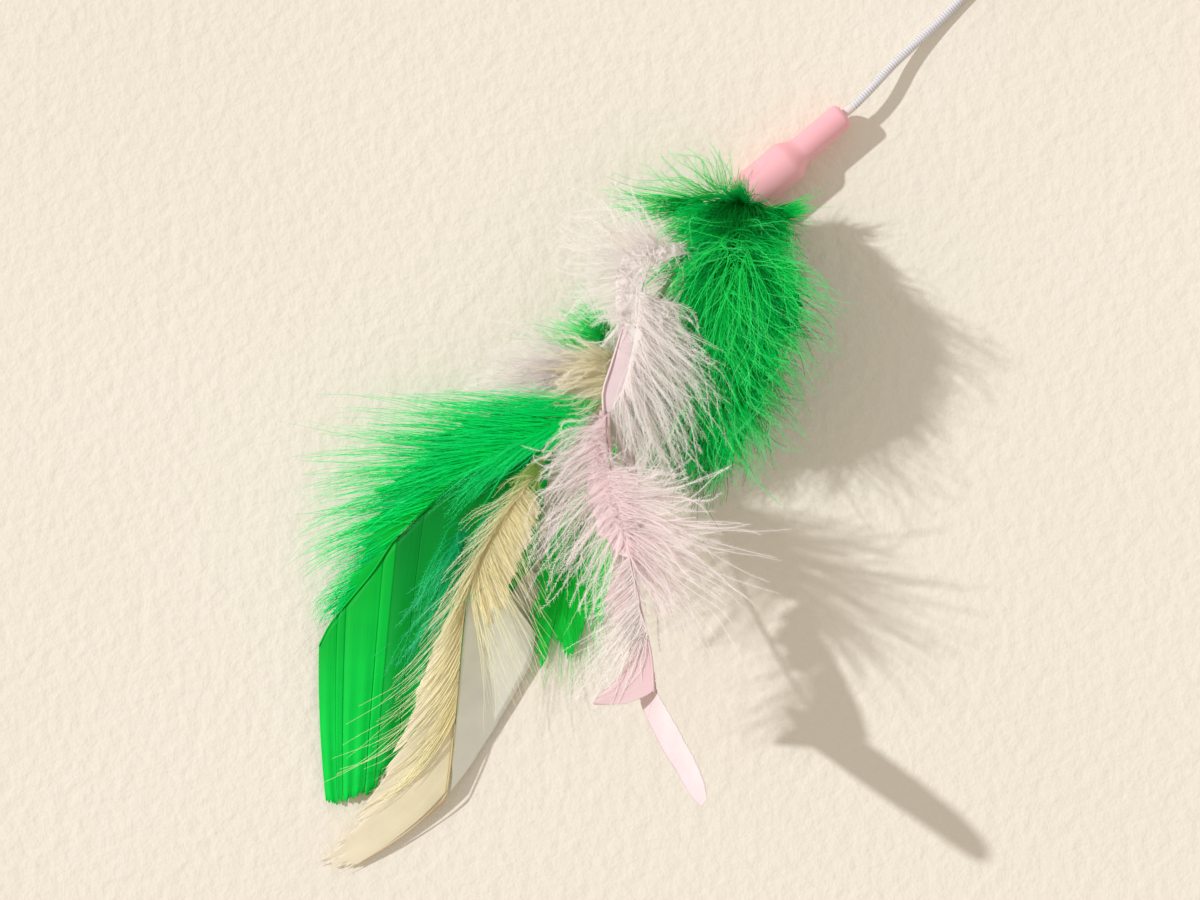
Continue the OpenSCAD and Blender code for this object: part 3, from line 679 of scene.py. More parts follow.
def fan(
    rows, count, rng, steps=7, ragged=0.5, stray=2.4, wave=1.0, locks=0, pull=0.6, spikes=0.25,
    curl=0.5, beat=(3, 9),
):
    """Middle lines of barbs from rows of (start, bend, end), each a place in the picture."""
    table = rows_in_mm(rows)
    t = (np.arange(count) + rng.random(count)) / count
    at = smooth_rows(table, t).reshape(count, 3, 3)
    reach = 1 - ragged * rng.random(count) ** 1.5
    if locks:
        mine = np.round(t * locks).astype(int)
        middle = mine / locks + rng.normal(0, spikes / locks, locks + 1)[mine]
        meet = smooth_rows(table, middle).reshape(count, 3, 3)
        lean = pull * rng.uniform(0.5, 1.0, count)[:, None]
        at[:, 2] += (meet[:, 2] - at[:, 2]) * lean
        at[:, 1] += (meet[:, 1] - at[:, 1]) * lean * 0.4
        reach *= (1 - 0.5 * ragged * rng.random(locks + 1))[mine]
    away = rng.normal(0, stray, (count, 3)) * [1, 1, 0.6]
    at[:, 2] += away
    at[:, 1] += away * 0.3 + rng.normal(0, stray * curl, (count, 3)) * [1, 1, 0.5]
    f = (np.linspace(0, 1, steps)[None] * reach[:, None])[..., None]
    lines = bent(at, f)
    across = unit(np.cross(unit(at[:, 2] - at[:, 0]), UP))
    along = f[..., 0]
    sway = np.sin(along * rng.uniform(*beat, (count, 1)) + rng.uniform(*PHASES, (count, 1))) * along
    lines = lines + (wave * sway)[..., None] * across[:, None]
    lift = np.sin(along * rng.uniform(*LIFT_BEAT, (count, 1)) + rng.uniform(*PHASES, (count, 1)))
    lines[..., 2] += 0.5 * wave * (lift * along)
    lines[..., 2] = np.maximum(lines[..., 2], BARB_FLOOR)
    return lines


def barbs(
    bundle, rows, count, rng, half=0.05, tip=0.3, hairs=12, hair=1.2, hair_half=0.02,
    tones=(0.4, 1), twist=0.7, **shape,
):
    """Adds a fan's barbs, half wide on each side, each with that many hairs of a length."""
    lines = fan(rows, count, rng, **shape)
    k = lines.shape[1]
    taper = 1 - (1 - tip) * np.linspace(0, 1, k)[None] ** 1.5
    wide = half * rng.uniform(0.8, 1.2, count)[:, None] * taper
    up = unit(bundle.facing + rng.normal(0, FACE_SCATTER, (count, 3)))
    patches = np.interp(
        np.linspace(0, 1, count), np.linspace(0, 1, TONE_PATCHES), rng.random(TONE_PATCHES)
    )
    tone = tones[0] + (tones[1] - tones[0]) * (0.5 * rng.random(count) + 0.5 * patches)
    bundle.strands(lines, wide, wide * BARB_FLAT, up, tone)
    if hairs:
        bundle.side_hairs(lines, up, tone, rng, hairs, hair, hair_half, twist)


PLUMED = {
    "half": 0.06, "tip": 0.35, "hairs": 26, "hair": 1.9, "hair_half": 0.03, "tones": (0.5, 1),
    "twist": 0.3, "steps": 9, "ragged": 0.35, "stray": 1.2, "wave": 0.7, "curl": 1.0,
}
DOWNY = {
    "half": 0.065, "hairs": 72, "hair_half": 0.05, "tones": (0, 1), "stray": 2.6, "wave": 1.6,
}


def plumed(bundle, rows, count, rng, **shape):
    """Adds barbs that show one by one, each with two combs of barbules."""
    barbs(bundle, rows, count, rng, **(PLUMED | shape))


def downy(bundle, rows, count, rng, **shape):
    """Adds soft barbs whose barbules are broad at the root and lie close, as a feathery ribbon."""
    plumed(bundle, rows, count, rng, **(DOWNY | shape))


def shaft(bundle, points, thick, thin, tone=0.8):
    """A feather's shaft through places in the picture, tapering from thick to thin."""
    line, _ = evenly([seen(*p) for p in points], SHAFT_STEP)
    half = np.linspace(thick, thin, len(line))[None] / 2
    bundle.strands(line[None], half, half, UP[None], np.array([tone]), 8)


# %% Smooth blade
def blade(
    bundle, rows, rng, splits=(), steps=10, fine=0.3, thick=0.2, ragged=0.03, teeth=0.1, billow=0.0,
    folds=5, pinch=0.0, tones=(0.3, 0.8), reach=1.0,
):
    """A blade of hooked barbs as thin sheets, parted where the real one has split."""
    table = rows_in_mm(rows)
    spine = np.linspace(0, 1, SPINE_STEPS)
    spots = smooth_rows(table, spine).reshape(SPINE_STEPS, 3, 3)
    walk = np.concatenate([[0], np.cumsum(np.linalg.norm(np.diff(spots[:, 1], axis=0), axis=1))])
    for first, last in zip((0, *splits), (*splits, 1)):
        n = max(4, int(np.interp(last - first, [0, 1], [0, walk[-1]]) / fine))
        t = np.linspace(first, last, n)
        inside = (t - first) / (last - first)
        ends = first + (last - first) * (0.5 + (inside - 0.5) * (1 - pinch))
        at = smooth_rows(table, t).reshape(n, 3, 3)
        at[:, 2] = smooth_rows(table, ends).reshape(n, 3, 3)[:, 2]
        slow = np.interp(t, np.linspace(first, last, max(3, n // 6)), rng.random(max(3, n // 6)))
        length = reach * (1 - ragged * slow - teeth * rng.random(n))
        f = (np.linspace(0, 1, steps)[None] * length[:, None])[..., None]
        grid = bent(at, f)
        phase = rng.uniform(*PHASES)
        grid[..., 2] += billow * np.sin(t * folds * 6.28 + phase)[:, None] * f[..., 0]
        grid[..., 2] += 0.35 * billow * np.sin(inside * math.pi)[:, None]
        grid[..., 2] = np.maximum(grid[..., 2], BLADE_FLOOR)
        along = f[..., 0]
        across = np.broadcast_to(np.interp(t, spine, walk)[:, None], along.shape)
        tone = np.full(along.shape, rng.uniform(*tones))
        rim = np.minimum(1, 0.3 + 4 * np.minimum(inside, 1 - inside))[:, None]
        wide = thick * (1 - 0.5 * along) * rim
        bundle.sheet(grid, wide, along, across, tone)


def make(name, bundle, body, material, slot, *replaced):
    """Turns a bundle into a piece on a body, in the place of the solids that it replaces."""
    piece = bundle.mesh(name)
    piece.data.materials.append(material)
    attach(piece, body)
    if replaced:
        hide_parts(*replaced)


# %% [markdown]
# ## Full green plume
# The plume on the right is a turkey marabou feather: its barbs are soft from end to end and carry
# barbules that never hook together, so they fall in loose locks. They leave the shaft all along
# it on both sides, those next to the mouth as a crown. A soft body fills the middle, thousands of
# barbs cover it, and a few long bright ones lie over all.

# %% Body of the green plume
rng = np.random.default_rng(11)
PLUME_SHAFT = [
    (734, 202, 6.8), (731, 214, 11), (727, 230, 15.5), (722, 256, 20.5), (720, 290, 22.5),
    (718, 330, 22.5), (716, 370, 20), (708, 400, 16),
]
PLUME_LEFT = places(
    741, 204, 9, 704, 202, 17, 664, 220, 16, 741, 211, 12, 700, 218, 21, 658, 236, 18,
    741, 222, 16, 704, 240, 24, 664, 256, 20, 740, 236, 20, 694, 262, 24, 644, 284, 15,
    739, 252, 23, 688, 294, 24, 642, 336, 11, 738, 272, 24, 694, 330, 23, 646, 405, 8,
    736, 296, 25, 702, 366, 21, 642, 460, 6, 734, 326, 24, 706, 400, 18, 648, 492, 5,
    730, 358, 22, 712, 432, 15, 678, 504, 5, 722, 390, 18, 718, 452, 12, 708, 508, 5,
)
PLUME_RIGHT = places(
    732, 209, 10, 762, 213, 16, 784, 226, 14, 732, 215, 13, 768, 226, 20, 792, 244, 16,
    732, 227, 17, 770, 242, 25, 796, 266, 20, 731, 241, 20, 774, 262, 29, 808, 292, 24,
    730, 257, 22, 776, 286, 31, 820, 318, 27, 729, 275, 24, 774, 314, 31, 820, 344, 25,
    727, 295, 25, 768, 346, 31, 804, 374, 26, 724, 317, 25, 758, 374, 30, 792, 408, 26,
    720, 343, 24, 746, 402, 28, 778, 440, 24, 715, 369, 22, 732, 428, 24, 754, 468, 20,
    706, 395, 17, 718, 450, 18, 730, 492, 15,
)
PLUME_MIDDLE = places(
    724, 238, 21, 684, 300, 25, 664, 372, 16, 728, 250, 23, 696, 330, 26, 672, 430, 12,
    733, 262, 25, 712, 348, 27, 690, 460, 10, 738, 268, 26, 728, 350, 29, 712, 448, 14,
    743, 266, 26, 744, 340, 31, 734, 424, 19, 746, 258, 26, 760, 322, 32, 756, 396, 24,
    748, 248, 26, 774, 300, 33, 784, 366, 26,
)
plume_body = Bundle()
shaft(plume_body, PLUME_SHAFT, 1.1, 0.4)
for rows, splits in ((PLUME_LEFT, (0.22, 0.45, 0.7)), (PLUME_RIGHT, (0.2, 0.42, 0.66))):
    blade(plume_body, rows, rng, splits, steps=12, fine=0.9, thick=0.6, ragged=0.35, teeth=0.06,
        billow=0.9, folds=11, pinch=0.05, tones=(0.2, 0.8), reach=0.68)
# The lower layers get darker tones too, and the whole body takes the darker copy of the green:
# painted shade inside and under the plume.
for height, reach in ((0.62, 0.86), (0.3, 0.84), (0.07, 0.82)):
    low = PLUME_RIGHT[1:] * [1, 1, height] + [0, 0, 1]
    blade(plume_body, low, rng, steps=8, fine=1.2, thick=0.6, ragged=0.3, tones=(0.1, 0.5),
        reach=reach)
make("green_plume_body", plume_body, "right_feathers", plume_painted_shade, "green_feather", "green_plume")

# %% Barbs of the green plume
SOFT = {
    "steps": 10, "ragged": 0.6, "stray": 2.2, "wave": 1.7, "pull": 0.85, "spikes": 0.9,
    "curl": 1.3, "beat": (5, 12), "half": 0.1, "hair": 1.3,
}
parts = {"left": (PLUME_LEFT, 1150), "right": (PLUME_RIGHT, 1150), "middle": (PLUME_MIDDLE, 700)}
for name, (rows, count) in parts.items():
    side_barbs = Bundle()
    barbs(side_barbs, rows, count, rng, locks=24, hairs=14, hair_half=0.024, tones=(0, 1), **SOFT)
    make(f"green_plume_{name}_barbs", side_barbs, "right_feathers", plume_green, "green_feather")

# These low barbs take the darker copy of the green and darker tones: painted shade under the plume.
low_barbs = Bundle()
PLUME_FOOT = places(
    722, 290, 14, 680, 350, 11, 640, 420, 5, 720, 320, 14, 682, 390, 10, 634, 462, 4,
    718, 350, 13, 690, 420, 9, 644, 490, 3, 716, 376, 12, 702, 440, 8, 674, 504, 3,
    714, 396, 11, 716, 456, 7, 708, 508, 3,
)
barbs(low_barbs, PLUME_FOOT, 420, rng, half=0.1, locks=18, hairs=10, hair=1.3, hair_half=0.026,
    tones=(0, 0.8), steps=8, ragged=0.3, wave=1.4, curl=1.2)
for height in (0.7, 0.42, 0.15):
    low = PLUME_RIGHT[1:] * [1, 1, height] + [0, 0, 1]
    barbs(low_barbs, low, 330, rng, locks=26, hairs=8, hair_half=0.026, tones=(0, 0.6), **SOFT)
make("green_plume_low_barbs", low_barbs, "right_feathers", plume_painted_shade, "green_feather")

# %% Crown of the plume
crown = Bundle()
for rows in (PLUME_LEFT[:4], PLUME_RIGHT[:4]):
    barbs(crown, rows, 600, rng, half=0.09, ragged=0.6, stray=1.6, wave=0.8, locks=26, spikes=0.5,
        curl=0.9, tones=(0.1, 1), hair_half=0.024)
barbs(crown, places(
    742, 204, 13, 722, 196, 17, 700, 192, 16, 742, 204, 14, 730, 192, 18, 720, 182, 17,
    743, 205, 14, 738, 190, 19, 738, 172, 19, 745, 206, 14, 746, 194, 19, 748, 184, 18,
    747, 209, 13, 754, 207, 16, 762, 206, 15, 747, 212, 13, 760, 213, 17, 774, 216, 15,
), 420, rng, half=0.08, steps=6, ragged=0.6, stray=1.2, wave=0.6, locks=14, pull=0.8,
    tones=(0, 0.7), hairs=10, hair=1.0)
make("green_plume_crown", crown, "right_feathers", plume_green, "green_feather")

# The neck takes the darker copy of the green: painted shade.
neck = Bundle()
barbs(neck, places(
    728, 196, 13, 712, 216, 20, 690, 232, 20, 736, 200, 14, 724, 222, 22, 706, 244, 23,
    744, 202, 14, 740, 222, 23, 734, 250, 25, 750, 202, 14, 760, 222, 22, 764, 248, 26,
    754, 202, 13, 776, 216, 20, 792, 238, 20,
), 520, rng, half=0.08, stray=1.8, wave=1.3, locks=20, pull=0.7, hair=1.1, tones=(0, 1))
make("green_plume_neck", neck, "right_feathers", plume_painted_shade, "green_feather")

# %% Long bright barbs of the plume
# These long barbs take the lighter green, which is painted highlight over the plume's own green.
bright = Bundle()
OVER = {
    "hairs": 40, "hair": 1.5, "hair_half": 0.03, "half": 0.07, "stray": 4.0, "wave": 2.4,
    "curl": 1.6, "steps": 12, "beat": (5, 12), "tones": (0.3, 1),
}
for rows, count in ((PLUME_LEFT[2:], 40), (PLUME_MIDDLE, 44), (PLUME_RIGHT[1:], 60)):
    plumed(bright, rows + [0, 0, 3], count, rng, **OVER)
plumed(bright, places(
    770, 236, 22, 786, 246, 24, 800, 262, 22, 772, 262, 26, 806, 276, 32, 836, 292, 32,
    776, 276, 27, 812, 298, 32, 852, 316, 33, 774, 292, 27, 810, 318, 31, 842, 342, 30,
    768, 316, 26, 800, 344, 29, 822, 372, 26, 760, 350, 24, 786, 384, 24, 800, 420, 18,
    748, 386, 20, 764, 424, 19, 778, 452, 12, 730, 410, 16, 740, 450, 13, 750, 490, 8,
), 60, rng, hairs=34, hair=1.6, half=0.07, stray=1.8, wave=1.2, tones=(0.0, 0.8))
plumed(bright, places(
    744, 380, 21, 782, 416, 27, 812, 452, 29, 728, 396, 21, 760, 436, 27, 784, 478, 30,
    706, 404, 21, 734, 446, 26, 752, 492, 28,
), 26, rng, hairs=60, hair_half=0.022, half=0.05, stray=2.6, wave=1.6, tones=(0, 0.6))
plumed(bright, [[(700, 400, 20), (728, 452, 20), (786, 505, 17)]] * 2, 1, rng, hairs=80, half=0.11,
    stray=0.2, wave=0.4, ragged=0.03, hair=2.1, hair_half=0.036)
make("green_plume_long_barbs", bright, "right_feathers", wisp_green_highlight, "green_feather")

# %% Green tuft to the right of the mouth
tuft = Bundle()
shaft(tuft, [(745, 203, 5), (757, 214, 6), (775, 213, 9), (788, 208, 11)], 0.9, 0.25)
barbs(tuft, places(
    754, 213, 7, 780, 209, 12, 806, 202, 13, 756, 215, 7, 784, 212, 12, 812, 205, 13,
    760, 214, 7, 786, 214, 12, 808, 212, 12, 760, 218, 6, 784, 224, 10, 800, 228, 9,
    758, 222, 6, 774, 236, 9, 784, 250, 7,
), 380, rng, half=0.09, steps=6, stray=1.0, wave=0.4, locks=14, tones=(0.3, 1))
plumed(tuft, places(
    770, 213, 10, 792, 207, 14, 816, 196, 14, 774, 216, 10, 800, 211, 14, 824, 208, 13,
    772, 220, 9, 790, 232, 11, 802, 246, 10,
), 22, rng, hairs=24, hair=1.3, hair_half=0.028)
make("right_tuft_barbs", tuft, "right_feathers", plume_green, "green_feather", "right_tuft")

# %% [markdown]
# ## Wisps to the left of the mouth
# A short plume sticks out to the left, with a few thin barbs standing up beside the sleeve.
# Against the pale table each barb shows by itself, so these are few, long and fine.

# %% Left tuft
rng = np.random.default_rng(23)
left = Bundle()
shaft(left, [(732, 199, 5.2), (714, 196, 8), (682, 200, 11), (650, 207, 12), (622, 211, 12)], 0.9,
    0.2)
barbs(left, places(
    726, 198, 7, 712, 186, 12, 694, 178, 13, 716, 198, 8, 690, 186, 13, 660, 184, 13,
    706, 200, 9, 676, 196, 13, 642, 194, 12, 698, 203, 10, 674, 206, 13, 644, 212, 12,
    704, 206, 11, 686, 216, 12, 668, 224, 11,
), 64, rng, half=0.055, ragged=0.6, wave=1.2, locks=20, tones=(0.5, 1), hairs=16, hair=1.3)
plumed(left, places(
    728, 188, 8, 735, 164, 14, 734, 134, 15, 724, 190, 8, 716, 172, 14, 698, 150, 15,
    716, 192, 9, 698, 176, 14, 679, 153, 15, 706, 194, 10, 682, 182, 14, 644, 172, 14,
    692, 198, 11, 656, 192, 13, 622, 184, 13, 682, 200, 11, 648, 206, 12, 606, 202, 12,
    686, 205, 11, 660, 216, 12, 626, 222, 10,
), 50, rng, hairs=38, hair=1.5, hair_half=0.026, stray=2.0, wave=1.2)
# The tuft's barbs take the lighter green: partly their pale colour and partly painted highlight.
make("left_tuft_barbs", left, "left_feathers", wisp_green_highlight, "green_feather", "left_tuft")

left_tip = Bundle()
barbs(left_tip, places(
    704, 200, 11, 650, 196, 14, 612, 192, 13, 702, 204, 11, 648, 206, 14, 606, 202, 13,
    698, 208, 11, 650, 214, 13, 616, 216, 12, 694, 212, 11, 664, 220, 12, 640, 226, 12,
), 84, rng, half=0.07, ragged=0.6, stray=1.8, wave=0.9, locks=12, tones=(0.2, 1), hairs=16)
make("left_tuft_tip", left_tip, "left_feathers", plume_green, "green_feather")

# %% [markdown]
# ## Green patch, cream down and white down
# Behind the pink feathers lie the fluffy ends of three more: a bright green one, a cream one and
# a nearly white one. Down has very thin barbs with long barbules, so it is hardly darker than the
# table that shows through it. The cream and the white down each have a thin soft core, with the
# barbs laid over it and past its edge.

# %% Side plume
side_green = Bundle(LAMPWARD)
shaft(side_green, [(733, 201, 3.8), (690, 245, 4), (640, 290, 4), (612, 330, 4.5), (598, 345, 4.5)],
    0.6, 0.2)
barbs(side_green, places(
    610, 330, 6, 606, 312, 9, 598, 296, 9, 606, 334, 6, 590, 314, 9, 574, 304, 9,
    604, 340, 6, 576, 324, 9, 552, 318, 8, 604, 348, 6, 572, 342, 8, 546, 338, 6,
    606, 356, 5, 576, 356, 7, 556, 356, 5,
), 230, rng, half=0.08, ragged=0.55, stray=1.8, locks=24, hair=1.3)
plumed(side_green, places(
    606, 330, 9, 592, 306, 12, 574, 292, 10, 600, 336, 9, 570, 322, 11, 538, 316, 9,
    600, 344, 8, 562, 338, 9, 514, 332, 6, 600, 350, 7, 566, 352, 8, 524, 348, 5,
), 34, rng, hair=1.3, hair_half=0.028, stray=1.8, tones=(0, 1))
# The side plume takes the lighter green as painted light, against the shade its crowded barbs cast
# on each other.
make("side_plume_barbs", side_green, "left_feathers", wisp_green_highlight, "green_feather", "side_plume")

# %% Cream down
CREAM_DOWN = places(
    618, 356, 9, 594, 350, 12, 568, 348, 10, 616, 364, 9, 584, 358, 13, 550, 358, 10,
    614, 374, 9, 574, 370, 13, 534, 376, 9, 612, 384, 9, 574, 386, 12, 534, 396, 8,
    612, 394, 9, 582, 402, 11, 548, 412, 7,
)
cream_core = Bundle(LAMPWARD)
blade(cream_core, CREAM_DOWN, rng, fine=0.8, thick=0.4, ragged=0.4, billow=0.2, folds=4, reach=0.4)
downy(cream_core, CREAM_DOWN, 44, rng, hair_half=0.04, half=0.05)
make("cream_down_core", cream_core, "left_feathers", cream_vane, "cream_feather", "cream_down")
cream = Bundle(LAMPWARD)
shaft(cream, [(738, 199, 6), (690, 272, 7), (640, 342, 8), (604, 380, 9.5)], 0.9, 0.3)
barbs(cream, CREAM_DOWN, 100, rng, stray=1.8, wave=0.8, locks=18, hairs=20, hair=1.9,
    tones=(0, 1))
plumed(cream, places(
    614, 354, 11, 590, 336, 14, 560, 324, 12, 612, 366, 11, 580, 358, 14, 546, 356, 12,
    610, 380, 12, 576, 386, 13, 536, 400, 10, 612, 392, 12, 592, 404, 13, 560, 420, 9,
), 36, rng, hairs=50, hair_half=0.026, tones=(0.3, 1), wave=1.4)
make("cream_down_barbs", cream, "left_feathers", cream_fluff, "cream_feather")

# %% White down
WHITE_DOWN = places(
    592, 358, 9, 562, 348, 11, 528, 346, 9, 582, 362, 9, 536, 354, 11, 486, 358, 8,
    574, 368, 9, 520, 366, 10, 462, 374, 7, 572, 376, 8, 520, 380, 9, 462, 390, 6,
    576, 384, 8, 532, 396, 8, 490, 406, 5,
)
white_core = Bundle(LAMPWARD)
blade(white_core, WHITE_DOWN, rng, fine=0.8, thick=0.4, ragged=0.4, teeth=0.12, billow=0.2, folds=4,
    reach=0.4)
downy(white_core, WHITE_DOWN, 40, rng, hair_half=0.035, half=0.05)
make("white_down_core", white_core, "left_feathers", fluff_core, "white_feather", "white_down")
white = Bundle(LAMPWARD)
shaft(white, [(736, 201, 4.5), (685, 262, 5), (625, 325, 6), (580, 362, 7.5)], 0.9, 0.25)
barbs(white, WHITE_DOWN, 80, rng, half=0.045, wave=0.9, locks=20, hairs=24, hair=2.1,
    hair_half=0.018, tones=(0, 1))
plumed(white, places(
    590, 356, 10, 560, 342, 12, 520, 338, 9, 570, 364, 10, 520, 354, 12, 462, 352, 9,
    560, 374, 9, 510, 376, 11, 446, 382, 8, 570, 386, 9, 530, 402, 9, 480, 412, 6,
), 40, rng, hairs=54, hair=2.1, half=0.05, hair_half=0.022, tones=(0.4, 1), stray=2.4, wave=1.4)
make("white_down_barbs", white, "left_feathers", white_fluff, "white_feather")

# %% [markdown]
# ## Long green goose feather
# On a goose flight feather the barbs hook together into a smooth blade on one side, and on the
# other side, near the base, they come apart into long pointed strands. The blade is a set of thin
# sheets with fine lines along the barbs, parted where the real one has split.

# %% Green goose feather
rng = np.random.default_rng(37)
GOOSE_BLADE = places(
    319, 646, 2.8, 317, 720, 2.2, 326, 806, 1.3, 331, 624, 3.6, 328, 715, 2.9, 334, 807, 1.5,
    345, 606, 4.2, 340, 706, 3.4, 342, 806, 1.7, 360, 588, 5, 354, 700, 4, 351, 804, 1.9,
    378, 562, 5.8, 368, 690, 4.4, 361, 800, 2.1, 398, 537, 6.6, 384, 670, 5, 374, 794, 2.3,
    420, 516, 7, 402, 650, 5.4, 392, 784, 2.5, 446, 492, 7.4, 424, 620, 5.6, 412, 764, 2.7,
    473, 469, 7.8, 448, 590, 5.8, 434, 730, 3.1, 500, 456, 7.8, 476, 560, 5.8, 460, 680, 3.5,
    530, 442, 7.8, 508, 530, 5.8, 496, 620, 3.7, 560, 426, 7.8, 543, 490, 5.8, 538, 560, 3.9,
)
goose = Bundle()
blade(goose, GOOSE_BLADE[:6], rng, (0.3, 0.42, 0.86), steps=24, thick=0.22, teeth=0.02, billow=0.16,
    folds=4.6, pinch=0.03, tones=(0.4, 0.8))
shaft(goose, [(738, 201, 2.6), (690, 290, 5), (640, 365, 6.5), (605, 405, 7.5), (560, 425, 8),
    (500, 455, 8), (473, 468, 8), (440, 494, 7.6), (398, 535, 6.9), (371, 574, 5.9),
    (333, 620, 3.9), (319, 646, 3)], 0.9, 0.3, tone=-1.5)
make("green_goose_blade", goose, "lure", vane_green, "green_feather", "green_goose_feather")

# The root half of the blade takes the darker copy of the green: painted shade.
shaded = Bundle()
blade(shaded, GOOSE_BLADE[5:], rng, (0.2, 0.52), steps=24, fine=0.35, thick=0.22, ragged=0.05,
    teeth=0.03, billow=0.2, pinch=0.03)
make("green_goose_root_blade", shaded, "lure", vane_shaded, "green_feather")

# %% Parted side of the green goose feather
GOOSE_LEFT = places(
    603, 400, 7.6, 575, 396, 9.4, 535, 402, 8.5, 596, 406, 7.8, 545, 400, 10, 470, 404, 9,
    580, 414, 8, 505, 404, 10.5, 396, 394, 9.5, 560, 425, 8, 475, 414, 10.5, 352, 402, 9.5,
    535, 438, 8, 440, 426, 10.5, 334, 416, 9, 508, 452, 8, 415, 442, 10.2, 296, 444, 8.6,
    480, 465, 8, 395, 466, 9.6, 288, 490, 7.6, 455, 484, 7.7, 375, 492, 8.8, 284, 518, 6.4,
    430, 507, 7.3, 355, 522, 7.8, 288, 556, 5.2, 400, 534, 6.8, 345, 552, 6.6, 306, 585, 4,
    375, 568, 5.9, 335, 588, 5.2, 311, 612, 3, 345, 606, 4.4, 330, 616, 3.8, 318, 630, 2.6,
)
strands = Bundle()
blade(strands, GOOSE_LEFT, rng, (0.24, 0.4, 0.55, 0.72, 0.86), steps=14, fine=0.4, thick=0.3,
    ragged=0.5, teeth=0.2, billow=0.3, folds=12, pinch=0.1, reach=0.6)
make("green_goose_parted_base", strands, "lure", vane_green, "green_feather")
spikes = Bundle()
barbs(spikes, GOOSE_LEFT, 860, rng, half=0.1, tip=0.2, steps=10, ragged=0.7, stray=1.3, wave=1.2,
    locks=30, pull=0.95, spikes=0.8, tones=(0.1, 1), hairs=8, hair=1.0, hair_half=0.024)
plumed(spikes, places(
    600, 402, 10, 560, 398, 12, 500, 392, 10, 585, 412, 10, 530, 400, 12, 440, 398, 10,
    560, 424, 10, 490, 416, 12, 400, 420, 10, 530, 440, 9.8, 460, 436, 11.6, 372, 452, 9,
    500, 455, 9.4, 430, 460, 11, 356, 500, 8, 470, 472, 9, 410, 490, 10, 350, 540, 7,
), 150, rng, hairs=22, hair=1.4, half=0.07, stray=2.2, tones=(0.2, 1))
plumed(spikes, places(
    596, 408, 9.6, 570, 440, 11, 548, 476, 9, 570, 420, 9.6, 530, 446, 11, 490, 474, 9.4,
    540, 436, 9.6, 500, 466, 10.4, 450, 500, 8.8, 510, 452, 9.6, 470, 490, 10, 432, 530, 8,
), 130, rng, hairs=24, hair=1.5, half=0.07, hair_half=0.032, stray=2.2, tones=(0.2, 1))
plumed(spikes, places(
    560, 425, 9, 470, 402, 12, 352, 398, 11, 530, 440, 9, 430, 418, 12, 326, 414, 10,
    500, 455, 9, 400, 440, 11.4, 300, 446, 9.6, 474, 468, 8.8, 384, 468, 10.6, 290, 500, 7.6,
    440, 494, 8.4, 366, 506, 9.4, 292, 552, 6, 400, 534, 7.6, 350, 556, 7.6, 306, 600, 4,
), 60, rng, hairs=10, hair=0.9, half=0.085, hair_half=0.024, stray=2.4, wave=1.2, ragged=0.3,
    tip=0.2)
make("green_goose_strands", spikes, "lure", goose_green, "green_feather")

down = Bundle()
plumed(down, places(
    470, 520, 9, 446, 560, 9.6, 418, 612, 7, 466, 540, 9, 440, 590, 9, 404, 650, 6.4,
    470, 560, 8.6, 444, 620, 8.6, 400, 690, 5.6, 480, 560, 8, 462, 620, 8, 430, 670, 5.6,
    500, 500, 9.4, 482, 530, 9.4, 460, 570, 7.4, 540, 480, 9.2, 528, 530, 9, 524, 580, 7,
), 150, rng, hairs=40, hair_half=0.032, stray=3.0, wave=1.8, tones=(0.1, 0.9))
teal_down = feather_finish(
    "dyed_teal_down", (2, 150, 80, 1.3), (20, 196, 120, 1.4), (90, 226, 170, 1.4), 0.35)
make("green_goose_down", down, "lure", teal_down, "green_feather")

hair = Bundle()
barbs(hair, places(
    327, 622, 4.4, 318, 630, 3, 292, 654, 1.6, 326, 623, 4.4, 318, 631, 3, 290, 655, 1.4,
), 1, rng, steps=8, ragged=0.02, stray=0.1, wave=0.3, tones=(0, 0.1), hairs=0)
brown_hair = soft_plastic("brown_hair", (170, 130, 104), (140, 104, 82), 0.6)
make("brown_hair", hair, "lure", brown_hair, "green_feather")

# %% Green feather below the others
under = Bundle()
shaft(under, [(742, 198, 3.2), (700, 300, 3.4), (655, 380, 3), (610, 460, 2.6), (575, 540, 2.5),
    (566, 620, 2)], 1.0, 0.3)
blade(under, places(
    612, 446, 3.2, 570, 500, 3.2, 536, 560, 2, 598, 480, 3, 556, 548, 2.8, 526, 616, 1.5,
    584, 516, 2.8, 548, 590, 2.4, 524, 656, 1.2, 575, 545, 2.6, 556, 612, 2.2, 544, 672, 1.1,
    576, 545, 2.6, 580, 604, 2.2, 576, 666, 1.1, 584, 528, 2.8, 602, 584, 2.4, 600, 636, 1.2,
    596, 500, 3, 618, 548, 2.8, 614, 600, 1.6,
), rng, (0.5,), steps=16, fine=0.35, thick=0.25, ragged=0.3, teeth=0.12, billow=0.15, pinch=0.02)
barbs(under, places(
    584, 516, 3.2, 548, 590, 3, 518, 662, 1.5, 575, 545, 3, 556, 612, 2.6, 540, 690, 1.3,
    576, 545, 3, 580, 604, 2.6, 584, 684, 1.3, 584, 528, 3.2, 606, 584, 3, 606, 650, 1.5,
), 90, rng, half=0.06, ragged=0.4, stray=1.4, wave=0.8, hairs=16, tones=(0, 1))
make("green_under_blade", under, "lure", deep_green, "deep_green_feather", "green_under_feather")

# %% [markdown]
# ## Cream goose feather
# This feather lies over the green one. Its left side is a cream blade that frays into long
# strands, and its right side is a paler blade with a mint cast, with loose strands hanging over
# it. At the tip the blade folds over, and the folded edge has a darker cream.

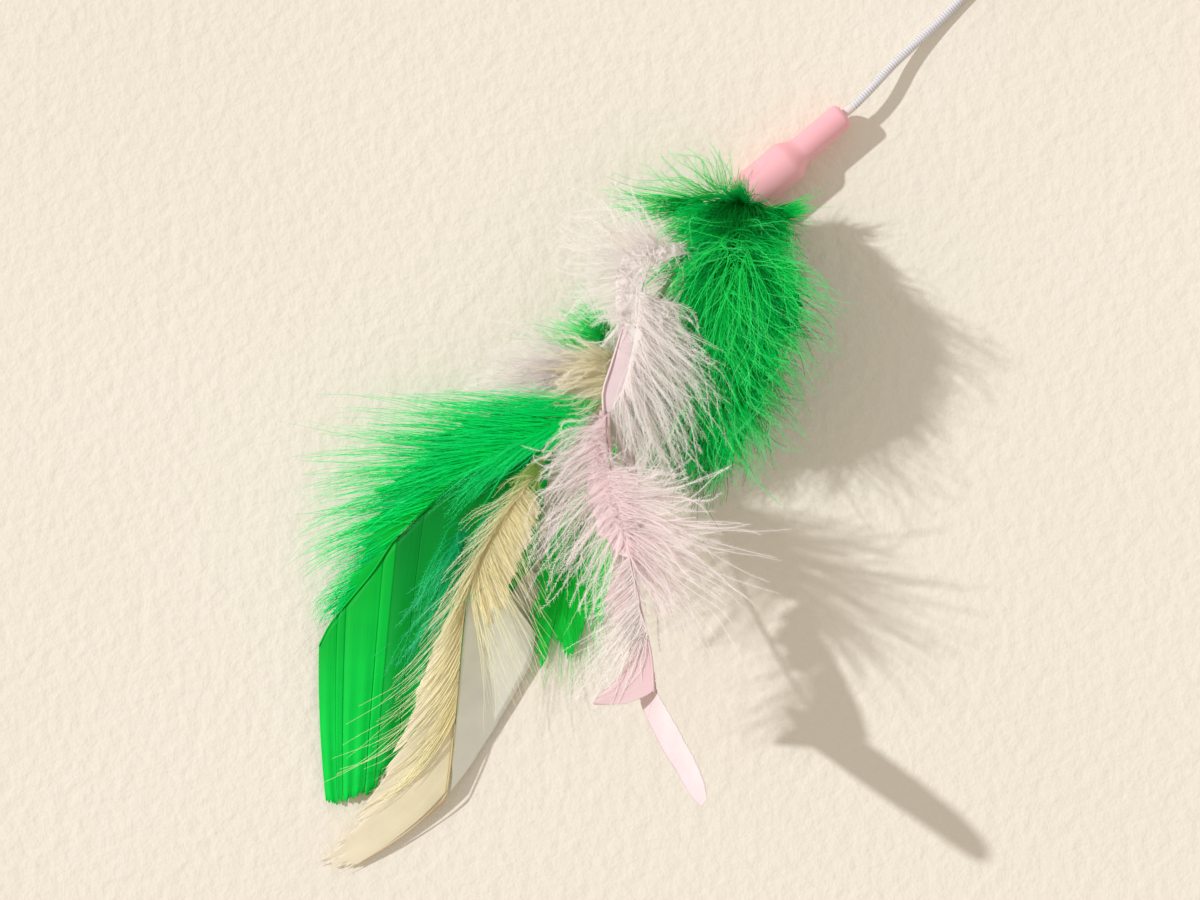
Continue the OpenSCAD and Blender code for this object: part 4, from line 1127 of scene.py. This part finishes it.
# %% Cream goose feather
rng = np.random.default_rng(53)
cream_blade = Bundle()
blade(cream_blade, places(
    522, 488, 12.6, 512, 504, 13, 496, 524, 12, 504, 516, 12.4, 490, 542, 12.8, 468, 568, 11.6,
    484, 549, 11.8, 472, 580, 12, 448, 612, 10.8, 472, 576, 11.2, 456, 620, 11.4, 426, 662, 9.8,
    466, 604, 10.6, 446, 666, 10.8, 404, 718, 8.4, 462, 638, 9.8, 438, 712, 9.8, 384, 768, 6.8,
    458, 672, 8.6, 432, 752, 7.6, 360, 808, 4.4, 455, 706, 7.2, 426, 786, 6, 334, 842, 2.8,
    453, 740, 5.8, 420, 812, 4.6, 312, 860, 1.8, 450, 768, 4.6, 416, 824, 3.4, 318, 872, 1.3,
    447, 790, 3.6, 418, 828, 2.6, 340, 877, 1.1,
), rng, (0.5,), steps=22, thick=0.22, ragged=0.14, teeth=0.06, billow=0.06, pinch=0.02,
    tones=(0.5, 0.8))
blade(cream_blade, places(
    524, 486, 12.9, 534, 494, 13.1, 543, 506, 12.4, 514, 502, 12.8, 532, 516, 13, 547, 532, 12.2,
    504, 516, 12.6, 522, 536, 12.8, 538, 560, 11.8, 494, 530, 12.4, 512, 556, 12.4, 528, 590, 11,
    484, 549, 12, 502, 580, 12, 522, 616, 10.4, 476, 564, 11.6, 492, 598, 11.6, 510, 636, 9.8,
    470, 580, 11.2, 480, 610, 11.2, 492, 644, 9.8,
), rng, steps=14, thick=0.22, ragged=0.35, billow=0.06, folds=3, tones=(0.5, 0.8), reach=0.9)
make("cream_goose_blade", cream_blade, "lure", cream_vane, "cream_feather", "cream_goose_feather")

fold = Bundle()
blade(fold, places(
    448, 790, 4, 440, 806, 3.6, 412, 829, 2.6, 446, 798, 3.6, 428, 817, 3.1, 384, 849, 2,
    444, 803, 3, 416, 831, 2.4, 334, 877, 1.3,
), rng, steps=18, fine=0.25, thick=0.25, tones=(0.2, 0.3), teeth=0.015)
cream_fold = feather_finish(
    "cream_fold", (232, 204, 158), (234, 208, 164), (238, 218, 182), 0.12, 0.1, 0.55, 0.08)
make("cream_goose_fold", fold, "lure", cream_fold, "cream_feather")

rachis = Bundle()
shaft(rachis, [(742, 200, 4.4), (685, 300, 6), (630, 375, 7.6), (590, 415, 8.4), (562, 440, 9.4),
    (536, 468, 11.6), (516, 498, 13.2), (484, 549, 12.3), (469, 580, 11.6), (463, 620, 10.8),
    (458, 660, 9.6), (455, 700, 8.0), (452, 750, 6.0), (447, 792, 4.0)], 0.9, 0.3)
make("cream_goose_shaft", rachis, "lure", shaft_gold, "cream_feather")

# %% Loose strands of the cream feather
loose = Bundle(LAMPWARD)
barbs(loose, places(
    522, 488, 13.4, 508, 508, 14, 482, 532, 13, 505, 514, 13, 480, 548, 14, 448, 586, 12,
    486, 546, 12.4, 462, 590, 13, 420, 640, 11, 472, 575, 11.8, 448, 640, 12.4, 380, 690, 9.6,
    465, 610, 11, 436, 684, 11.4, 338, 734, 7.6, 461, 650, 10.2, 426, 732, 10, 322, 772, 5.8,
    458, 690, 9, 418, 776, 8, 336, 800, 4.6, 455, 720, 8, 412, 800, 6, 322, 842, 3,
), 170, rng, half=0.08, steps=10, ragged=0.55, stray=1.3, locks=40, pull=0.8, spikes=0.6,
    tones=(0.3, 1), hairs=5, hair=0.8, hair_half=0.022)
barbs(loose, places(
    528, 484, 13.4, 548, 500, 14, 556, 540, 12, 514, 500, 13.4, 540, 530, 14, 554, 590, 11,
    502, 520, 13.2, 530, 570, 13.6, 564, 650, 9.6, 492, 540, 12.8, 518, 610, 13, 582, 702, 7.6,
    482, 558, 12.4, 506, 640, 12.6, 560, 728, 7.6, 475, 575, 12, 494, 660, 12, 524, 742, 7,
    470, 595, 11.6, 480, 680, 11.4, 488, 764, 6.2,
), 100, rng, half=0.075, steps=10, ragged=0.6, stray=2.2, wave=1.2, locks=26, pull=0.7, spikes=0.8,
    tones=(0.3, 1), hairs=6, hair=0.9, hair_half=0.022)
barbs(loose, places(
    524, 486, 13.4, 536, 500, 13.8, 544, 520, 13, 506, 514, 13.2, 528, 536, 13.6, 538, 566, 12.4,
    488, 544, 12.6, 510, 576, 13, 528, 612, 11.4, 474, 572, 12, 496, 610, 12.2, 516, 652, 10.4,
), 90, rng, ragged=0.4, stray=1.0, wave=0.5, locks=20, pull=0.3, hairs=0)
plumed(loose, places(
    534, 476, 13.4, 510, 486, 15, 480, 508, 13.6, 514, 502, 13.4, 486, 520, 15, 456, 556, 12.6,
    496, 530, 13, 468, 562, 14, 436, 610, 11.6, 478, 566, 12.4, 454, 606, 13, 420, 656, 11,
), 50, rng, hair=1.4, hair_half=0.026, tones=(0.3, 1))
make("cream_goose_strands", loose, "lure", cream_strand, "cream_feather")

olive = Bundle()
plumed(olive, places(
    548, 452, 12, 530, 470, 13, 506, 492, 12.4, 544, 458, 12, 530, 480, 13.6, 512, 506, 13.2,
    542, 464, 12, 538, 488, 13.6, 530, 512, 13,
), 46, rng, hair=1.4, tones=(0, 1))
olive_down = feather_finish(
    "olive_down", (110, 170, 60, 1.3), (160, 190, 90, 1.3), (226, 220, 160, 1.3), 0.3)
make("cream_goose_root_down", olive, "lure", olive_down, "cream_feather")

mint = Bundle()
blade(mint, places(
    476, 566, 10.6, 508, 590, 6.4, 536, 634, 2, 469, 590, 10.2, 502, 626, 5.6, 531, 664, 1.7,
    465, 620, 9.6, 492, 658, 5, 517, 690, 1.5, 462, 650, 8.8, 482, 688, 4.2, 502, 716, 1.3,
    459, 686, 7.6, 472, 718, 4.4, 486, 742, 1.2, 456, 724, 6.2, 463, 748, 3.8, 469, 768, 1.6,
    452, 764, 4.6, 453, 780, 3.2, 450, 792, 2.4,
), rng, steps=14, ragged=0.01, teeth=0.004, billow=0.04, folds=2)
make("pale_mint_blade", mint, "lure", mint_vane, "cream_feather")

# %% [markdown]
# ## Pink feathers
# The two pink feathers are hackles: a slim shaft, a narrow smooth blade next to it and long soft
# barbs with clear barbules that stand out in wide fans. A third, narrow one ends in a flat
# ribbon.

# %% Upper pink feather
rng = np.random.default_rng(71)
HAZE = {
    "steps": 8, "ragged": 0.55, "stray": 3.0, "wave": 1.8, "curl": 1.2, "hairs": 20, "hair": 1.6,
    "hair_half": 0.018,
}
MESSY = {"stray": 3.0, "wave": 2.0, "curl": 1.3, "ragged": 0.45, "tones": (0.5, 1)}
CORE = {"fine": 0.7, "thick": 0.3}
band = Bundle()
blade(band, places(
    622, 322, 21.6, 631, 324, 22, 640, 328, 21.8, 619, 344, 21.2, 629, 348, 21.6, 640, 354, 21.4,
    611, 368, 20.4, 622, 374, 20.8, 634, 382, 20.4, 603, 390, 19.8, 612, 396, 20.2, 620, 402, 19.8,
    602, 410, 19.4, 606, 412, 19.7, 611, 413, 19.5,
), rng, steps=9, ragged=0.12, tones=(0.3, 0.6))
shaft(band, [(622, 330, 21.6), (611, 366, 20.8), (603, 392, 20.2), (604, 414, 19.8)], 0.45, 0.5,
    tone=1.3)
make("pink_upper_blade", band, "upper_feathers", strip_pink, "pink_feather", "pink_upper_feather")

BAND = places(
    684, 246, 21, 685, 250, 21.4, 686, 255, 21.6, 668, 243, 22.4, 670, 250, 22.8, 673, 259, 23,
    648, 243, 22.6, 653, 253, 23.2, 660, 264, 23.4, 630, 250, 22.4, 641, 262, 23, 650, 272, 23.4,
    618, 268, 22, 633, 276, 22.8, 647, 284, 23.2, 616, 290, 21.8, 631, 294, 22.6, 646, 300, 23,
    616, 312, 21.4, 630, 316, 22.2, 645, 322, 22.8, 617, 334, 21, 629, 340, 21.6, 643, 348, 22.2,
)
PUFF = places(
    668, 246, 23, 650, 230, 22.6, 632, 200, 20, 656, 248, 23, 626, 228, 22.6, 598, 202, 19,
    646, 254, 23, 606, 236, 22, 564, 218, 17, 640, 264, 22.8, 596, 252, 21.4, 550, 244, 16,
    636, 278, 22.6, 600, 276, 21, 564, 280, 16, 634, 296, 22.4, 608, 300, 20.8, 584, 312, 16,
    630, 322, 22.2, 612, 332, 20.4, 596, 350, 17,
)
puff_core = Bundle(LAMPWARD)
blade(puff_core, BAND, rng, fine=0.6, thick=0.3, ragged=0.1, billow=0.1, folds=3)
blade(puff_core, PUFF, rng, ragged=0.6, teeth=0.4, billow=0.2, folds=4, reach=0.3, **CORE)
downy(puff_core, PUFF, 40, rng, stray=3.0, hair_half=0.035, half=0.05)
downy(puff_core, BAND + [0, 0, 0.4], 36, rng, hairs=24, hair=1.4, stray=1.6, wave=0.8)
make("pink_upper_puff_core", puff_core, "upper_feathers", fluff_core, "pink_feather")

puff = Bundle(LAMPWARD)
barbs(puff, PUFF, 180, rng, half=0.04, tones=(0.5, 1), **HAZE)
barbs(puff, BAND + [0, 0, 0.5], 45, rng, half=0.045, steps=6, ragged=0.3, stray=2.6, curl=1.2,
    hairs=10, hair_half=0.022, tones=(0.5, 1))
barbs(puff, places(
    672, 250, 23.4, 640, 262, 23.6, 612, 288, 22, 654, 254, 23.6, 638, 276, 23.6, 624, 306, 22.4,
    646, 262, 23.6, 638, 290, 23.6, 634, 322, 22.8, 642, 274, 23.6, 642, 304, 23.6, 642, 338, 22.8,
), 36, rng, ragged=0.4, stray=2.2, curl=1.2, hair_half=0.022)
plumed(puff, PUFF + [0, 0, 0.6], 30, rng, hairs=50, half=0.05, hair_half=0.024, **MESSY)
make("pink_upper_puff", puff, "upper_feathers", white_fluff, "pink_feather")

SKIRT = places(
    640, 290, 23.4, 652, 298, 25, 672, 318, 25.6, 639, 302, 23.4, 664, 318, 26, 694, 348, 26,
    638, 316, 23.2, 676, 340, 26, 710, 386, 25, 636, 330, 23, 680, 364, 25.6, 713, 420, 23,
    633, 346, 22.6, 672, 388, 24.6, 703, 450, 21, 630, 362, 22, 658, 408, 23.4, 686, 476, 19,
    626, 378, 21.4, 644, 424, 22, 664, 488, 18, 620, 394, 20.8, 630, 432, 21, 644, 480, 18,
)
skirt_core = Bundle(LAMPWARD)
blade(skirt_core, SKIRT, rng, ragged=0.6, teeth=0.4, billow=0.2, reach=0.36, **CORE)
downy(skirt_core, SKIRT, 80, rng)
downy(skirt_core, SKIRT + [-4, 2, -1.6], 44, rng, half=0.09, ragged=0.3)
make("pink_upper_skirt_core", skirt_core, "upper_feathers", fluff_core, "pink_feather")
skirt = Bundle(LAMPWARD)
barbs(skirt, SKIRT, 130, rng, half=0.045, locks=20, pull=0.4, **HAZE)
plumed(skirt, SKIRT + [0, 0, 1.2], 50, rng, hairs=56, hair=1.7, half=0.07, hair_half=0.027, **MESSY)
plumed(skirt, places(
    640, 300, 24, 684, 330, 26, 724, 372, 24, 640, 316, 24, 694, 350, 26, 752, 400, 23,
    636, 330, 24.6, 694, 374, 26, 730, 442, 22, 632, 350, 24, 670, 410, 24, 704, 492, 19,
    626, 372, 22.6, 646, 440, 22, 664, 506, 17,
), 16, rng, hairs=70, hair=1.8, half=0.085, stray=3, wave=1.6, ragged=0.2)
make("pink_upper_skirt", skirt, "upper_feathers", white_fluff, "pink_feather")

# %% Lower pink feather
lower = Bundle()
shaft(lower, [(736, 197, 7.6), (712, 225, 11), (690, 250, 14), (650, 315, 16), (618, 385, 17.6),
    (608, 412, 19), (609, 440, 20.5), (614, 480, 23), (621, 515, 26), (629, 556, 30),
    (640, 606, 33), (651, 654, 36.4), (654, 692, 38.2)], 1.1, 0.45, tone=1.2)
blade(lower, places(
    600, 410, 19.2, 606, 412, 19.6, 612, 412, 19.4, 594, 440, 20, 602, 442, 21, 612, 442, 20.8,
), rng, steps=6, fine=0.4, ragged=0.1, tones=(0.3, 0.6))
blade(lower, places(
    629, 556, 30.2, 620, 566, 30, 608, 578, 28.6, 632, 572, 31, 616, 586, 30.6, 598, 600, 28.4,
    635, 586, 31.8, 618, 602, 31.2, 598, 616, 28.6, 638, 598, 32.6, 624, 616, 31.8, 606, 632, 29,
    640, 608, 33.2, 630, 626, 32.6, 618, 644, 30.4,
), rng, steps=12, ragged=0.4, teeth=0.16, billow=0.15, folds=3, tones=(0.3, 0.5))
blade(lower, places(
    640, 606, 33.4, 636, 622, 33, 630, 640, 31.8, 644, 622, 34.2, 637, 642, 33.8, 626, 664, 32.4,
    648, 640, 35.2, 638, 660, 34.6, 612, 684, 32, 651, 656, 36.2, 639, 678, 35.4, 594, 698, 31.4,
    653, 672, 37.2, 642, 690, 36.2, 596, 706, 31.6, 654, 690, 38, 648, 697, 37.2, 624, 704, 34.6,
), rng, steps=14, ragged=0.06, teeth=0.03, billow=0.12, folds=3, tones=(0.2, 0.4))
make("pink_lower_blade", lower, "upper_feathers", pink_vane, "pink_feather", "pink_lower_feather")

vane_hair = Bundle(LAMPWARD)
barbs(vane_hair, places(
    629, 558, 31, 608, 576, 31, 588, 594, 29, 633, 574, 31.8, 610, 598, 31.6, 586, 620, 28,
    637, 590, 32.6, 614, 616, 32.4, 592, 642, 28, 640, 604, 33.6, 620, 634, 33.4, 598, 668, 28,
), 110, rng, stray=1.4, wave=0.8, locks=16, pull=0.4)
plumed(vane_hair, places(
    638, 600, 34, 608, 628, 34, 570, 660, 28, 640, 610, 34.4, 610, 646, 34, 576, 690, 28,
    642, 616, 34.8, 616, 662, 34.4, 590, 702, 29, 645, 624, 35.2, 624, 672, 35, 606, 704, 31,
    648, 634, 35.8, 634, 676, 35.4, 622, 706, 33,
), 84, rng, hairs=34, hair=1.6, half=0.07, hair_half=0.028, stray=2.2, wave=1.2)
make("pink_lower_vane_barbs", vane_hair, "upper_feathers", white_fluff, "pink_feather")

LEFT_FAN = places(
    606, 416, 20, 586, 426, 20.4, 566, 442, 18, 606, 436, 20.8, 572, 450, 21.4, 546, 478, 18,
    608, 458, 22, 566, 480, 22.4, 538, 522, 18, 612, 480, 23.4, 564, 516, 23.4, 534, 572, 17,
    617, 500, 24.8, 574, 542, 24.6, 550, 600, 17, 622, 518, 26.4, 592, 564, 26.4, 574, 624, 19,
    627, 536, 28.4, 608, 584, 28.2, 596, 640, 22,
)
left_core = Bundle(LAMPWARD)
blade(left_core, LEFT_FAN, rng, ragged=0.55, teeth=0.3, billow=0.3, reach=0.34, **CORE)
downy(left_core, LEFT_FAN[:5], 46, rng)
downy(left_core, LEFT_FAN[4:], 12, rng)
make("pink_lower_left_core", left_core, "upper_feathers", pink_core, "pink_feather")
left_fan = Bundle(LAMPWARD)
barbs(left_fan, LEFT_FAN, 130, rng, half=0.045, locks=18, pull=0.4, **HAZE)
plumed(left_fan, LEFT_FAN + [0, 0, 1.2], 52, rng, hairs=56, hair=1.7, half=0.07, hair_half=0.027,
    **MESSY)
make("pink_lower_left_fan", left_fan, "upper_feathers", pink_fluff, "pink_feather")

RIGHT_FAN = places(
    606, 470, 23, 634, 474, 29, 668, 468, 33, 610, 482, 24, 650, 490, 30, 694, 486, 35,
    614, 494, 25, 662, 506, 31, 714, 510, 36, 618, 506, 26, 670, 522, 32, 728, 540, 36,
    621, 518, 27, 674, 540, 32, 728, 572, 36, 624, 528, 28, 670, 556, 32, 716, 600, 36,
    626, 538, 28.8, 662, 572, 32, 700, 626, 35, 629, 550, 29.6, 654, 588, 32, 684, 640, 34,
    633, 566, 30.8, 648, 600, 32, 666, 632, 33,
)
right_core = Bundle(LAMPWARD)
blade(right_core, places(
    594, 436, 20.4, 602, 440, 21.2, 613, 442, 21, 588, 466, 21, 602, 472, 22.8, 622, 474, 22.8,
    588, 492, 22.2, 608, 500, 24.8, 642, 494, 25.2, 594, 514, 23.4, 620, 520, 26.4, 662, 508, 27.2,
    606, 538, 25.4, 626, 542, 28.4, 650, 538, 28.8, 618, 554, 28.4, 628, 558, 29.8, 638, 560, 29.8,
), rng, fine=0.5, ragged=0.3, teeth=0.3, billow=0.2, folds=4, tones=(0.3, 0.6))
blade(right_core, RIGHT_FAN[:6], rng, ragged=0.6, teeth=0.4, billow=0.3, reach=0.26, **CORE)
downy(right_core, RIGHT_FAN, 40, rng, ragged=0.5)
make("pink_lower_right_core", right_core, "upper_feathers", pink_core, "pink_feather")
right_fan = Bundle(LAMPWARD)
barbs(right_fan, places(
    598, 440, 21.6, 604, 456, 22.8, 606, 480, 23.4, 596, 462, 22.4, 614, 474, 24.4, 632, 484, 25.4,
    600, 480, 23.6, 624, 490, 27, 652, 488, 28, 606, 498, 25, 634, 504, 28.4, 668, 506, 29.4,
    612, 514, 26.6, 636, 522, 29.4, 668, 528, 30.4, 618, 528, 28.2, 636, 540, 30.2, 656, 554, 30.8,
), 160, rng, wave=1.4, curl=1.2, hairs=16, hair=1.4)
barbs(right_fan, RIGHT_FAN, 90, rng, half=0.045, locks=18, pull=0.4, **HAZE)
plumed(right_fan, RIGHT_FAN + [0, 0, 1], 58, rng, hairs=70, hair=1.8, half=0.08, stray=2.6,
    wave=1.4, ragged=0.45)
plumed(right_fan, places(
    612, 490, 26, 676, 496, 33, 728, 450, 38, 616, 502, 27, 676, 520, 33, 744, 503, 39,
    620, 512, 28, 694, 526, 34, 776, 543, 39, 623, 524, 29, 704, 546, 34, 780, 580, 39,
    626, 536, 30, 694, 574, 34, 750, 620, 38, 628, 546, 30.6, 686, 590, 34, 738, 654, 37,
    631, 560, 31.4, 664, 602, 34, 696, 672, 35,
), 22, rng, hairs=90, hair=1.7, half=0.095, hair_half=0.032, stray=1.6, wave=1.0, ragged=0.1)
make("pink_lower_right_fan", right_fan, "upper_feathers", pink_fluff, "pink_feather")

# %% Narrow pink feather
strip = Bundle()
shaft(strip, [(736, 200, 5.6), (716, 225, 8), (695, 262, 9.5), (660, 320, 11), (642, 380, 12),
    (634, 450, 13.4), (632, 540, 18), (636, 620, 25), (648, 690, 31)], 1.1, 0.6, tone=1.0)
blade(strip, places(
    637, 672, 26, 646, 674, 30, 655, 672, 33, 641, 702, 29, 650, 698, 33, 658, 692, 37,
    650, 724, 33.4, 660, 719, 37, 670, 713, 41, 662, 748, 38.6, 672, 742, 42, 683, 736, 45,
    677, 772, 43.6, 686, 766, 46.4, 696, 760, 48.4, 691, 796, 48.4, 698, 790, 49.8, 705, 784, 50.8,
    702, 807, 50.4, 704, 803, 50.8, 707, 799, 51.2,
), rng, steps=12, thick=0.3, ragged=0.02, teeth=0.05, tones=(0.4, 0.7))
blade(strip, places(
    612, 412, 17, 615, 413, 18, 619, 414, 17, 616, 440, 17.4, 620, 441, 18.4, 625, 441, 17.4,
    626, 466, 18, 630, 466, 19, 636, 466, 18, 632, 496, 19.6, 636, 496, 20.6, 641, 494, 19.6,
), rng, steps=6, fine=0.5, thick=0.25, tones=(0.0, 0.1), teeth=0.015)
make("pink_strip_ribbon", strip, "upper_feathers", strip_pink, "pink_feather", "pink_strip_feather")

dress("upper_quills", pink_vane)
dress("right_quills", plume_green)
dress("left_quills", cream_vane)

# %% [markdown]
# ## Table and light
# The real photograph has pale textured paper and one soft lamp from the left. A big plane with a
# fine bump stands for the paper, a slightly wide sun gives the soft-edged shadow, and an even sky
# fills it.

# %% Paper, sun and sky
PAPER_SIZE = 4
SUN_ENERGY = 2.34
SUN_ANGLE = 1.8
SUN_RISE = math.radians(39)
SUN_HEADING = (0.961, -0.276)
SKY_STRENGTH = 0.59

bpy.ops.mesh.primitive_plane_add(size=PAPER_SIZE, location=(-0.1, 0.2, TABLE * MM))
paper = bpy.context.object
paper.name = "paper"
material, tree, shader = finish("pale_paper")
cloud = speckle(tree, 8.0).outputs["Fac"]
ramp = blended(tree, cloud, tint(241, 231, 216), tint(244, 235, 221), 0.3, 0.7)
tree.links.new(ramp.outputs["Color"], shader.inputs["Base Color"])
shader.inputs["Roughness"].default_value = 0.9
shader.inputs["Specular IOR Level"].default_value = 0.1
raised(tree, shader, speckle(tree, 330.0, 4.0, 0.55).outputs["Fac"], 0.6, 0.0008)
paper.data.materials.append(material)

sun = bpy.data.objects.new("Sun", bpy.data.lights.new("Sun", "SUN"))
bpy.context.scene.collection.objects.link(sun)
sun.data.energy = SUN_ENERGY
sun.data.angle = math.radians(SUN_ANGLE)
sun.data.color = (0.92, 0.96, 1.0)
towards = (*(x * math.cos(SUN_RISE) for x in SUN_HEADING), -math.sin(SUN_RISE))
sun.rotation_euler = Vector(towards).to_track_quat("-Z", "Y").to_euler()

world = bpy.data.worlds.new("Studio")
bpy.context.scene.world = world
world.use_nodes = True
tree = world.node_tree
sky = tree.nodes["Background"]
sky.inputs["Color"].default_value = (1.0, 0.94, 0.85, 1)
sky.inputs["Strength"].default_value = SKY_STRENGTH
far = node(tree, "ShaderNodeBackground", Color=(*tint(240, 230, 215), 1), Strength=1.0)
rays = tree.nodes.new("ShaderNodeLightPath")
pick = tree.nodes.new("ShaderNodeMixShader")
tree.links.new(rays.outputs["Is Camera Ray"], pick.inputs["Fac"])
tree.links.new(sky.outputs["Background"], pick.inputs[1])
tree.links.new(far.outputs["Background"], pick.inputs[2])
tree.links.new(pick.outputs["Shader"], tree.nodes["World Output"].inputs["Surface"])
bpy.context.scene.view_settings.view_transform = "Standard"
